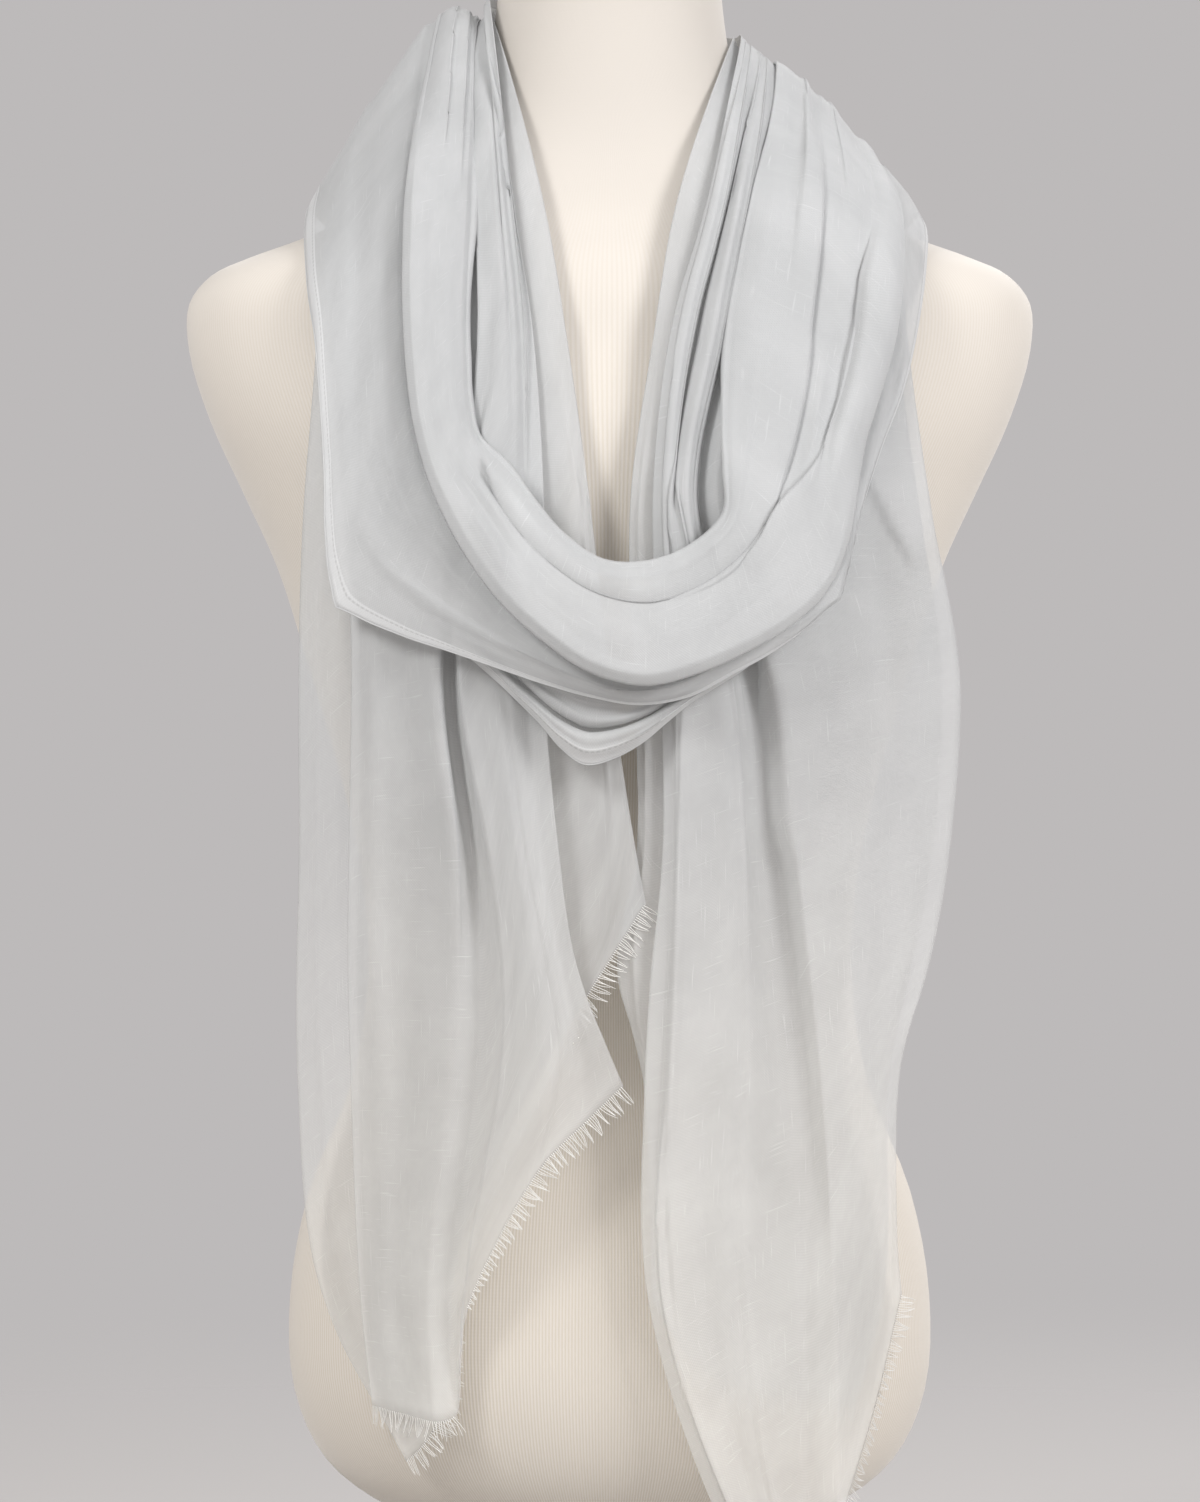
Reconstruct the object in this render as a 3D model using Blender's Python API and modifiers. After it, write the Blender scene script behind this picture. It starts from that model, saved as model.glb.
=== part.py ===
"""A light gauze scarf, looped once round the neck of a limbless dress form.

Millimetres in the tables, metres in the meshes. +Z is up, the front faces -Y,
and the origin is the middle of the stand's underside.

Every stretch of cloth is a loft across its folds. A table has one row for each
fold, from the outer side of the stretch to its inner side, and gives where that
fold runs in the front view: x at named heights, and x and z at its ends.
"""
import bpy
import bmesh
from collections import namedtuple
from math import cos, sin, pi, sqrt, exp
from mathutils import Vector
from mathutils.bvhtree import BVHTree

MM = 0.001

# Cloth and clearances
WALL = 1.2                  # thickness of the cloth's wall
SEAM = 0.3                  # gap where two solids meet face to face
SEAM_DRAW = 0.45            # how far each stretch is drawn back from a shared edge
FRINGE_GAP = 0.8            # from a cut end to the strip that carries its strands
OVER_FORM = 1.7             # middle of the wall above the dress form
OVER_CLOTH = 2.0            # middle of a wall above the middle of the one below
CELLS = 2                   # cells across the cloth from one fold to the next

# The shoulder's top line, where the cloth turns from the front to the back
NECK_TOP = 800.0
RIDGE_Y = 4.0
ROLL = 75.0                 # fall below that line over which the cloth turns down
NAPE_FALL = 2.4             # how late the cloth falls away behind that line

# Stations along each stretch
LOOP_STEPS = 32
NAPE_STEPS = 14
LEFT_STEPS = 26
RIGHT_STEPS = 32
UNDER_STEPS = 14
SAMPLES = 12                # points of a fold's curve from one place of its row to the next

# Fringe
STRAND_PITCH = 4.2
STRAND_LENGTH = 9.0
STRAND_SWAY = 0.3           # of the pitch, to either side
STRAND_UNEVEN = 0.15        # of the length, half the largest shortening
STRIP_DEPTH = 1.8
STRIP_THICKNESS = 1.0

# Stand
BASE_RADIUS = 120.0
BASE_THICKNESS = 12.0
FLANGE_RADIUS = 38.0
FLANGE_THICKNESS = 6.0
POST_RADIUS = 14.0
FORM_BOTTOM = 72.0


# The dress form, a row for each level from the neck's top to the underside
Ring = namedtuple("Ring", "z half_width front back")
FORM = [
    Ring(838, 48, 47, 54), Ring(822, 52, 49, 56), Ring(800, 54, 50, 59),
    Ring(776, 58, 54, 66), Ring(752, 68, 60, 76), Ring(733, 86, 66, 84),
    Ring(714, 108, 73, 90), Ring(700, 126, 78, 94), Ring(690, 148, 82, 96),
    Ring(681, 173, 85, 98), Ring(673, 190, 88, 100), Ring(660, 200, 92, 101),
    Ring(638, 200, 97, 102),
    Ring(605, 190, 108, 104), Ring(570, 174, 113, 103), Ring(535, 158, 114, 98),
    Ring(491, 144, 106, 90), Ring(440, 129, 96, 80), Ring(390, 118, 91, 73),
    Ring(340, 115, 92, 75), Ring(290, 123, 98, 86), Ring(239, 143, 103, 100),
    Ring(190, 152, 105, 108), Ring(145, 150, 102, 105), Ring(112, 135, 91, 92),
    Ring(90, 106, 74, 76), Ring(77, 70, 52, 52), Ring(FORM_BOTTOM, 50, 40, 40),
]
FORM_SIDES = 28
BUST = {"x": 78, "z": 560, "out": 15, "wide": 42, "tall": 48}

# How far the cloth hangs in front of and behind the form's middle, and how
# much that falls away towards the sides (per mm of x squared)
Hang = namedtuple("Hang", "z front bow back")
HANG = [
    Hang(820, 56, 0.0060, 60), Hang(760, 64, 0.0050, 80), Hang(700, 84, 0.0009, 102),
    Hang(640, 104, 0.0012, 109), Hang(560, 125, 0.0019, 106), Hang(480, 125, 0.0022, 98),
    Hang(380, 122, 0.0028, 92), Hang(280, 118, 0.0030, 96), Hang(180, 115, 0.0032, 104),
    Hang(20, 112, 0.0032, 104),
]

# The tails. ridge: x and z on the shoulder's top line. across: x at each of the
# heights below, down to the last one that the fold passes. end: x and z of its end.
# relief: how far the fold stands out of the sheet, or lies back where negative.
HEIGHTS = [700, 640, 560, 480, 400, 350, 300, 200, 100]
Tail = namedtuple("Tail", "name relief ridge across end")

LEFT_TAIL_BACK = [
    Tail("outer edge", 0, (-123, 707), [-125, -130, -138, -142, -144, -146, -146, -136], (-94, 119)),
    Tail("outer fall", 2, (-108, 732), [-112, -117, -121, -126, -129, -130, -128, -117], (-86, 127)),
    Tail("middle valley", 0, (-88, 759), [-87, -91, -95, -98, -100, -99, -96, -86], (-76, 147)),
    Tail("middle fall", 2, (-71, 775), [-66, -69, -71, -73, -74, -74, -73], (-71, 212)),
    Tail("inner valley", 0, (-61, 785), [-52, -45, -38, -31, -29, -34, -41], (-45, 277)),
    Tail("inner fall", 2, (-57, 793), [-43, -29, -17, -9, -5, -7], (-18, 323)),
    Tail("inner hem", 1, (-55, 800), [-30, -20, -9, 0, 12], (16, 378)),
]
LEFT_TAIL_FRONT = [
    Tail("outer fold", -2, (-99, 757), [-104, -110, -116, -117, -120, -121, -120, -116], (-110, 144)),
    Tail("outer crown", 4, (-88, 772), [-96, -100, -105, -106, -109, -110, -109, -105], (-100, 143)),
    Tail("middle fall", 1, (-77, 782), [-82, -84, -89, -91, -91, -92, -92, -96], (-90, 141)),
    Tail("split outer lip", 3, (-66, 788), [-66, -66, -72, -78, -70, -69, -72, -83], (-80, 139)),
    Tail("split", -4, (-62, 790), [-60, -59, -66, -72, -63, -60, -61, -73], (-70, 142)),
    Tail("split inner lip", 3, (-60, 793), [-54, -52, -60, -66, -54, -47, -48, -64], (-66, 186)),
    Tail("inner crown", 5, (-58, 798), [-48, -43, -44, -46, -38, -29, -23], (-32, 256)),
    Tail("inner valley", 0, (-57, 803), [-46, -39, -37, -38, -31, -22, -12], (-12, 277)),
    Tail("inner hem", 1, (-56, 809), [-44, -35, -30, -30, -23, -15], (6, 295)),
]
RIGHT_TAIL_BACK = [
    Tail("outer edge", 0, (126, 708), [127, 128, 139, 152, 150, 141, 130, 128], (114, 144)),
    Tail("middle fall", 2, (104, 737), [102, 98, 95, 98, 102, 100, 98, 92], (90, 149)),
    Tail("middle valley", -1, (78, 760), [72, 58, 47, 52, 58, 60, 61, 62], (62, 154)),
    Tail("inner fall", 3, (60, 781), [39, 28, 17, 20, 20, 17, 23, 33], (37, 169)),
    Tail("inner hem", 1, (57, 788), [30, 20, 9, 11, 12, 3, 15, 19], (19, 197)),
]
RIGHT_TAIL_FRONT = [
    Tail("outer edge", 0, (125, 710), [126, 131, 144, 161, 158, 149, 135, 135], (136, 195)),
    Tail("outer valley", -2, (112, 728), [110, 116, 122, 127, 124, 122, 119, 126], (124, 147)),
    Tail("wide fall", 3, (92, 749), [89, 87, 82, 99, 108, 109, 111, 118], (113, 114)),
    Tail("second panel", 6, (80, 763), [70, 61, 48, 77, 86, 92, 97, 103], (105, 93)),
    Tail("deep valley", -6, (74, 770), [63, 52, 39, 66, 74, 79, 84, 87, 89], (96, 71)),
    Tail("lit panel", 6, (70, 775), [57, 46, 34, 56, 63, 63, 63, 62, 75], (91, 61)),
    Tail("second fold", -3, (67, 779), [53, 38, 28, 42, 50, 49, 48, 44, 64], (87, 53)),
    Tail("inner crown", 5, (63, 783), [48, 34, 26, 32, 33, 32, 30, 26, 57], (84, 46)),
    Tail("inner hem", 0, (60, 788), [43, 27, 19, 23, 24, 19, 16, 17, 48], (81, 41)),
]

# How far each half of a tail stands off the hang, at the chest, the waist and the end
TAIL_CLEAR = {"back": (2, 3, 2), "front": (6, 12, 8)}

# The loop, from the left shoulder down to the dip and up to the right shoulder:
# x and z on the shoulders' top lines, at the turns, the low stretches and the dip,
# and x at the arm heights, with None where the fold turns above that height.
# out: how far the fold stands off the hang on the left arm, at the dip and on
# the right arm.
ARM_HEIGHTS = [700, 640, 590]
Loop = namedtuple("Loop", "name out left_ridge left_arm left_turn left_low dip "
                          "right_low right_turn right_arm right_ridge")
FRONT_LOOP = [
    Loop("outer hem", (11, 31, 2), (-133, 696), [None, -129, -128], (-121, 519), (-60, 489),
         (20, 469), (57, 484), (94, 512), [119, 131, None], (137, 693)),
    Loop("outer valley", (14, 33, 5), (-112, 741), [-118, -120, -116], (-108, 528), (-55, 495),
         (16, 472), (56, 488), (97, 515), [118, 129, None], (134, 701)),
    Loop("panel fall", (17, 34, 8), (-98, 768), [-106, -106, -103], (-95, 538), (-50, 501),
         (13, 475), (55, 491), (98, 519), [117, 127, 131], (131, 708)),
    Loop("panel root", (12, 32, 10), (-87, 788), [-95, -95, -91], (-80, 549), (-45, 508),
         (10, 479), (53, 493), (97, 523), [114, 124, 129], (128, 714)),
    Loop("tuck", (11, 31, 12), (-83, 792), [-84, -84, -78], (-65, 560), (-36, 520),
         (7, 488), (50, 499), (92, 529), [109, 121, 126], (125, 719)),
    Loop("band hem", (20, 42, 20), (-80, 796), [-89, -89, -83], (-71, 555), (-42, 512),
         (7, 480), (53, 490), (100, 524), [115, 128, 130], (122, 724)),
    Loop("band lower crest", (26, 47, 27), (-77, 798), [-86, -86, -80], (-67, 558), (-39, 517),
         (7, 487), (50, 497), (96, 528), [112, 125, 127], (119, 729)),
    Loop("band crown", (27, 49, 28), (-73, 799), [-80, -82, -77], (-63, 561), (-36, 522),
         (8, 495), (47, 504), (86, 533), [107, 119, 122], (114, 735)),
    Loop("band valley", (20, 40, 17), (-70, 799), [-75, -77, -73], (-60, 564), (-34, 527),
         (8, 502), (44, 511), (78, 536), [101, 111, 115], (108, 742)),
    Loop("band upper crest", (20, 40, 25), (-67, 799), [-71, -73, -69], (-57, 567), (-32, 532),
         (8, 509), (41, 517), (70, 540), [90, 99, 104], (101, 749)),
    Loop("lip seam", (15, 32, 15), (-65, 798), [-68, -70, -66], (-54, 570), (-29, 537),
         (8, 517), (38, 523), (64, 545), [81, 89, 94], (93, 756)),
    Loop("lip crest", (15, 34, 20), (-63, 797), [-65, -67, -63], (-51, 574), (-26, 542),
         (4, 524), (35, 530), (58, 549), [67, 70, 79], (85, 763)),
    Loop("inner roll", (10, 28, 10), (-61, 795), [-62, -64, -59], (-47, 577), (-23, 546),
         (2, 531), (30, 536), (51, 553), [51, 53, 62], (76, 770)),
]

# The stretch below the loop's hem: z of each fold at the places across, and how
# far it stands off the hang
UNDER_X = [-72, -55, -35, -12, 10, 35, 60, 80]
Under = namedtuple("Under", "name out heights")
LOOP_UNDER_FOLD = [
    Under("upper edge", 20, [530, 518, 502, 492, 488, 496, 512, 528]),
    Under("upper crest", 26, [523, 509, 489, 476, 474, 486, 504, 522]),
    Under("slit top", 25, [516, 500, 479, 464, 466, 480, 498, 516]),
    Under("slit", 20, [510, 494, 475, 460, 463, 477, 493, 511]),
    Under("lower crest", 26, [504, 489, 470, 454, 458, 473, 489, 506]),
    Under("lower hem", 22, [497, 483, 464, 442, 449, 469, 485, 501]),
]

# The back: how high the lowest and the highest fold pass behind the neck, how far
# the stretch stands off the hang there and how far its crests stand out of it
NAPE_OUTER = {"low": 640, "high": 796, "off": 8, "crest": 9}
NAPE_INNER = {"low": 716, "high": 812, "off": 4, "crest": 3}
NAPE_SAMPLES = 60

# Where the cloth is pushed away from: a line up the neck that slopes down and
# out inside the shoulders, from the neck's side at CORE_SIDE
CORE_TOP = 790
CORE_SIDE = 55
CORE_DROP = 4
CORE_SHOULDER = 730
CORE_SLOPE = 0.75
PROBE = 70.0                # how far outside the cloth the search for lower layers starts

# The form's levels are rounder than an oval by this power: more at the shoulders,
# less at the hips
OVAL = 2.0
SQUARER_SHOULDERS = 0.6
ROUNDER_HIPS = 0.35


def read(table, key, column):
    """A column's value at any height, between the table's rows."""
    rows = sorted(table)
    if key <= rows[0].z:
        return getattr(rows[0], column)
    for low, high in zip(rows, rows[1:]):
        if key <= high.z:
            share = (key - low.z) / (high.z - low.z)
            return getattr(low, column) * (1 - share) + getattr(high, column) * share
    return getattr(rows[-1], column)


def ease(share):
    share = min(1.0, max(0.0, share))
    return share * share * (3 - 2 * share)


def spline(points, steps):
    """A centripetal Catmull-Rom curve through the points."""
    knots = [Vector(point) for point in points]
    knots = [2 * knots[0] - knots[1]] + knots + [2 * knots[-1] - knots[-2]]
    curve = []
    for a, b, c, d in zip(knots, knots[1:], knots[2:], knots[3:]):
        t1 = sqrt((b - a).length) + 1e-6
        t2 = t1 + sqrt((c - b).length) + 1e-6
        t3 = t2 + sqrt((d - c).length) + 1e-6
        for step in range(steps):
            t = t1 + (t2 - t1) * step / steps
            ab = a * ((t1 - t) / t1) + b * (t / t1)
            bc = b * ((t2 - t) / (t2 - t1)) + c * ((t - t1) / (t2 - t1))
            cd = c * ((t3 - t) / (t3 - t2)) + d * ((t - t2) / (t3 - t2))
            abc = ab * ((t2 - t) / t2) + bc * (t / t2)
            bcd = bc * ((t3 - t) / (t3 - t1)) + cd * ((t - t1) / (t3 - t1))
            curve.append(abc * ((t2 - t) / (t2 - t1)) + bcd * ((t - t1) / (t2 - t1)))
    curve.append(knots[-2])
    return curve


def evenly(curve, count):
    """The curve again, as count equal steps."""
    lengths = [0.0]
    for a, b in zip(curve, curve[1:]):
        lengths.append(lengths[-1] + (b - a).length)
    result = []
    at = 0
    for step in range(count + 1):
        wanted = lengths[-1] * step / count
        while at < len(curve) - 2 and lengths[at + 1] < wanted:
            at += 1
        span = max(lengths[at + 1] - lengths[at], 1e-9)
        result.append(curve[at].lerp(curve[at + 1], (wanted - lengths[at]) / span))
    return result


def front_point(x, z, out, ridge_z):
    """A point of the front: the hang at that height, rolled over the shoulder."""
    drop = min(1.0, max(0.0, (ridge_z - z) / ROLL))
    reach = read(HANG, z, "front") - read(HANG, z, "bow") * x * x + out * ease(drop)
    return Vector((x, RIDGE_Y - (reach + RIDGE_Y) * sqrt(1 - (1 - drop) ** 2), z))


def tail_line(row, sheet, steps):
    """One fold of a tail, from the shoulder's top line down to its end."""
    chest, waist, end = TAIL_CLEAR[sheet]
    places = [row.ridge] + list(zip(row.across, HEIGHTS)) + [row.end]
    line = []
    for x, z in spline(places, SAMPLES):
        low = ease((HEIGHTS[1] - z) / (HEIGHTS[1] - HEIGHTS[4]))
        clear = chest + (waist - chest) * low
        if z < HEIGHTS[4]:
            clear = waist + (end - waist) * ease((HEIGHTS[4] - z) / (HEIGHTS[4] - row.end[1] + 1))
        line.append(front_point(x, z, clear + row.relief, row.ridge[1]))
    return evenly(line, steps)


def loop_line(row, steps):
    """One fold of the loop, from the left shoulder through the dip to the right one."""
    left = [(x, z) for x, z in zip(row.left_arm, ARM_HEIGHTS) if x is not None]
    right = [(x, z) for x, z in zip(row.right_arm, reversed(ARM_HEIGHTS)) if x is not None]
    places = [row.left_ridge] + left + [row.left_turn, row.left_low, row.dip]
    places += [row.right_low, row.right_turn] + right + [row.right_ridge]
    line = []
    for x, z in spline(places, SAMPLES):
        low = ease((ARM_HEIGHTS[1] - z) / (ARM_HEIGHTS[1] - row.dip[1]))
        left, dip, right = row.out
        arm, ridge_z = (left, row.left_ridge[1]) if x < row.dip[0] else (right, row.right_ridge[1])
        line.append(front_point(x, z, arm + (dip - arm) * low, ridge_z))
    return evenly(line, steps)


def nape_line(right, left, centre_z, out, steps):
    """One fold round the back, from the right shoulder to the left one."""
    square = OVAL + SQUARER_SHOULDERS * ease((760 - centre_z) / 100)
    line = []
    for step in range(NAPE_SAMPLES + 1):
        turn = pi * step / NAPE_SAMPLES
        side_x, side_z = right if step * 2 <= NAPE_SAMPLES else left
        reach = read(HANG, centre_z, "back") + out * sin(turn) ** 2
        x = abs(side_x) * cos(turn)
        y = RIDGE_Y + (reach - RIDGE_Y) * max(0.0, 1 - abs(cos(turn)) ** square) ** (1 / square)
        z = side_z + (centre_z - side_z) * sin(turn) ** NAPE_FALL
        line.append(Vector((x, y, z)))
    return evenly(line, steps)


def across(lines):
    """The grid of a stretch: a smooth section through the folds at each station."""
    grid = []
    for station in zip(*lines):
        grid.append(spline(station, CELLS))
    return grid


def outward(point):
    """Away from the form's middle: level round the neck, upward over the shoulders."""
    side = abs(point.x)
    neck_z = CORE_TOP - CORE_DROP * max(0.0, side - CORE_SIDE)
    core_z = max(neck_z, CORE_SHOULDER - CORE_SLOPE * side)
    core = Vector((0.5 * point.x, 0, min(point.z, core_z)))
    return (point - core).normalized()


def shortfall(point, layers):
    """How far a point must move outward to clear the layers below it."""
    way = outward(point)
    need = 0.0
    for tree, gap in layers:
        hit, normal, _, distance = tree.ray_cast(point + way * PROBE, -way, 2 * PROBE)
        if hit is not None:
            facing = max(0.5, abs(normal.dot(way)))
            need = max(need, gap / facing + PROBE - distance)
    return need


def needs(grid, layers):
    """The largest shortfall near each point of the grid, from nine places in each cell."""
    rows, columns = len(grid), len(grid[0])
    need = [[0.0] * columns for _ in range(rows)]
    for j in range(rows - 1):
        for i in range(columns - 1):
            short = 0.0
            for u in (0, 0.5, 1):
                for v in (0, 0.5, 1):
                    near = grid[j][i].lerp(grid[j][i + 1], u)
                    far = grid[j + 1][i].lerp(grid[j + 1][i + 1], u)
                    short = max(short, shortfall(near.lerp(far, v), layers))
            for a, b in ((j, i), (j + 1, i), (j, i + 1), (j + 1, i + 1)):
                need[a][b] = max(need[a][b], short)
    return need


def lay_over(grid, layers):
    """Moves a stretch out over what lies below it. Whole folds move together."""
    for spread, rounds in ((CELLS, 8), (CELLS, 2), (1, 1)):
        need = needs(grid, layers)
        move = widened(need, spread)
        for _ in range(rounds):
            move = eased(move, need)
        grid = [[point + outward(point) * move[j][i] for i, point in enumerate(station)]
                for j, station in enumerate(grid)]
    return grid


def widened(move, spread):
    """The largest value within so many columns and one station of each point."""
    rows, columns = len(move), len(move[0])
    return [[max(move[a][b]
                 for a in range(max(0, j - 1), min(rows, j + 2))
                 for b in range(max(0, i - spread), min(columns, i + spread + 1)))
             for i in range(columns)] for j in range(rows)]


def eased(move, floor):
    """The mean of each point's neighbours, but never below the floor."""
    rows, columns = len(move), len(move[0])
    result = []
    for j in range(rows):
        result.append([])
        for i in range(columns):
            near = [move[a][b] for a in (j - 1, j, j + 1) for b in (i - 1, i, i + 1)
                    if 0 <= a < rows and 0 <= b < columns]
            result[j].append(max(floor[j][i], sum(near) / len(near)))
    return result


def tree_of(grid):
    """The grid's surface, for laying the next stretch over it."""
    columns = len(grid[0])
    points = [point for station in grid for point in station]
    faces = []
    for j in range(len(grid) - 1):
        for i in range(columns - 1):
            a = j * columns + i
            faces.append((a, a + 1, a + columns + 1, a + columns))
    return BVHTree.FromPolygons(points, faces)


def material(name, colour, roughness, metallic=0.0):
    made = bpy.data.materials.new(name)
    made.use_nodes = True
    shader = made.node_tree.nodes["Principled BSDF"]
    shader.inputs["Base Color"].default_value = (*colour, 1.0)
    shader.inputs["Roughness"].default_value = roughness
    shader.inputs["Metallic"].default_value = metallic
    return made


def add_object(name, bm, surface, collection, smooth_angle=40):
    """Turns a bmesh in millimetres into a named object in metres."""
    bmesh.ops.scale(bm, vec=(MM, MM, MM), verts=bm.verts)
    bmesh.ops.recalc_face_normals(bm, faces=bm.faces)
    mesh = bpy.data.meshes.new(name)
    bm.to_mesh(mesh)
    bm.free()
    mesh.shade_smooth()
    mesh.set_sharp_from_angle(angle=smooth_angle * pi / 180)
    mesh.materials.append(surface)
    made = bpy.data.objects.new(name, mesh)
    collection.objects.link(made)
    return made


def add_cloth(name, grid, surface, collection):
    """A stretch of cloth: the grid as an open surface with an even wall."""
    bm = bmesh.new()
    rows = [[bm.verts.new(point) for point in station] for station in grid]
    for low, high in zip(rows, rows[1:]):
        for i in range(len(low) - 1):
            bm.faces.new((low[i], low[i + 1], high[i + 1], high[i]))
    made = add_object(name, bm, surface, collection)
    wall = made.modifiers.new("wall", "SOLIDIFY")
    wall.thickness = WALL * MM
    wall.offset = 0
    return made


def part_rows(ring, first, last, shared_first, shared_last):
    """A run of stations, drawn back at the ends that meet a neighbour."""
    run = [list(station) for station in ring[first:last + 1]]
    for end, inner, shared in ((0, 1, shared_first), (-1, -2, shared_last)):
        if shared:
            run[end] = [a + (b - a).normalized() * SEAM_DRAW for a, b in zip(run[end], run[inner])]
    return run


def add_fringe(name, edge, above, surface, collection):
    """A narrow strip along a cut end, with a tapered strand hanging from each cell.

    Gives back the surface that the strands lie in, for what is laid over them.
    """
    falls = []
    for i, (low, high) in enumerate(zip(edge, above)):
        along = (edge[min(i + 1, len(edge) - 1)] - edge[max(i - 1, 0)]).normalized()
        fall = low - high
        falls.append((fall - along * fall.dot(along)).normalized())
    tips = [low + fall * (STRIP_DEPTH + STRAND_LENGTH) for low, fall in zip(edge, falls)]
    count = int(sum((b - a).length for a, b in zip(edge, edge[1:])) / STRAND_PITCH)
    edge_line = evenly(edge, count)
    tip_line = evenly(tips, count)
    bm = bmesh.new()
    stations = []
    for k, (low, tip) in enumerate(zip(edge_line, tip_line)):
        along = (edge_line[min(k + 1, count)] - edge_line[max(k - 1, 0)]).normalized()
        fall = tip - low
        fall = (fall - along * fall.dot(along)).normalized()
        face = along.cross(fall).normalized() * STRIP_THICKNESS / 2
        top = low + fall * FRINGE_GAP
        bottom = top + fall * STRIP_DEPTH
        corners = (top + face, top - face, bottom - face, bottom + face)
        stations.append([bm.verts.new(corner) for corner in corners])
    for k, (a, b) in enumerate(zip(stations, stations[1:])):
        for i in (3, 0, 1):
            bm.faces.new((a[i], b[i], b[(i + 1) % 4], a[(i + 1) % 4]))
        root = (a[2].co + a[3].co + b[2].co + b[3].co) / 4
        fall = (a[2].co - a[1].co + b[2].co - b[1].co).normalized()
        sway = (b[2].co - a[2].co) * STRAND_SWAY * sin(2.4 * k)
        length = STRAND_LENGTH * (1 - STRAND_UNEVEN * (1 + sin(1.7 * k)))
        tip = bm.verts.new(root + fall * length + sway)
        for pair in ((a[2], b[2]), (b[2], b[3]), (b[3], a[3]), (a[3], a[2])):
            bm.faces.new((*pair, tip))
    bm.faces.new(stations[0])
    bm.faces.new(reversed(stations[-1]))
    add_object(name, bm, surface, collection)
    return tree_of([edge, tips])


def form_point(ring, turn):
    """A point of one level of the form: a soft oval, squarer at the shoulders."""
    square = OVAL + SQUARER_SHOULDERS * ease((745 - ring.z) / 40)
    square -= ROUNDER_HIPS * ease((640 - ring.z) / 100)
    depth = ring.front if sin(turn) < 0 else ring.back
    x = ring.half_width * abs(cos(turn)) ** (2 / square) * (1 if cos(turn) > 0 else -1)
    y = depth * abs(sin(turn)) ** (2 / square) * (1 if sin(turn) > 0 else -1)
    if y < 0:
        near = ((abs(x) - BUST["x"]) / BUST["wide"]) ** 2 + ((ring.z - BUST["z"]) / BUST["tall"]) ** 2
        y -= BUST["out"] * exp(-near) * min(1.0, -y / 60)
    return Vector((x, y, ring.z))


def add_form(surface, collection):
    """The dress form, lofted through its levels and closed flat at both ends."""
    bm = bmesh.new()
    levels = []
    for ring in FORM:
        turns = [2 * pi * k / FORM_SIDES for k in range(FORM_SIDES)]
        levels.append([bm.verts.new(form_point(ring, turn)) for turn in turns])
    for high, low in zip(levels, levels[1:]):
        for k in range(FORM_SIDES):
            n = (k + 1) % FORM_SIDES
            bm.faces.new((high[k], low[k], low[n], high[n]))
    bm.faces.new(levels[0])
    bm.faces.new(reversed(levels[-1]))
    bmesh.ops.recalc_face_normals(bm, faces=bm.faces)
    tree = BVHTree.FromBMesh(bm)
    add_object("dress_form", bm, surface, collection, smooth_angle=60)
    return tree


def add_turned(name, radius, low, high, surface, collection, rim=0.0, sides=48):
    """A cylinder of the stand, with an eased rim."""
    bpy.ops.mesh.primitive_cylinder_add(
        vertices=sides, radius=radius * MM, depth=(high - low) * MM,
        location=(0, 0, (low + high) / 2 * MM))
    made = bpy.context.object
    made.name = name
    made.data.name = name
    made.data.materials.append(surface)
    for owner in made.users_collection:
        owner.objects.unlink(made)
    collection.objects.link(made)
    if rim:
        bevel = made.modifiers.new("rim", "BEVEL")
        bevel.width = rim * MM
        bevel.segments = 2
    return made


def add_stand(surface, collection):
    add_turned("stand_base", BASE_RADIUS, 0, BASE_THICKNESS, surface, collection, rim=2)
    post_top = FORM_BOTTOM - SEAM
    profile = [
        (0, post_top), (FLANGE_RADIUS, post_top), (FLANGE_RADIUS, post_top - FLANGE_THICKNESS),
        (POST_RADIUS, post_top - FLANGE_THICKNESS - 4), (POST_RADIUS, BASE_THICKNESS + SEAM),
        (0, BASE_THICKNESS + SEAM),
    ]
    bm = bmesh.new()
    points = [bm.verts.new((x, 0, z)) for x, z in profile]
    for a, b in zip(points, points[1:]):
        bm.edges.new((a, b))
    bmesh.ops.scale(bm, vec=(MM, MM, MM), verts=bm.verts)
    mesh = bpy.data.meshes.new("stand_post")
    bm.to_mesh(mesh)
    bm.free()
    mesh.materials.append(surface)
    made = bpy.data.objects.new("stand_post", mesh)
    collection.objects.link(made)
    screw = made.modifiers.new("turn", "SCREW")
    screw.steps = 32
    screw.render_steps = 32
    screw.use_merge_vertices = True
    screw.merge_threshold = 0.0001


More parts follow.
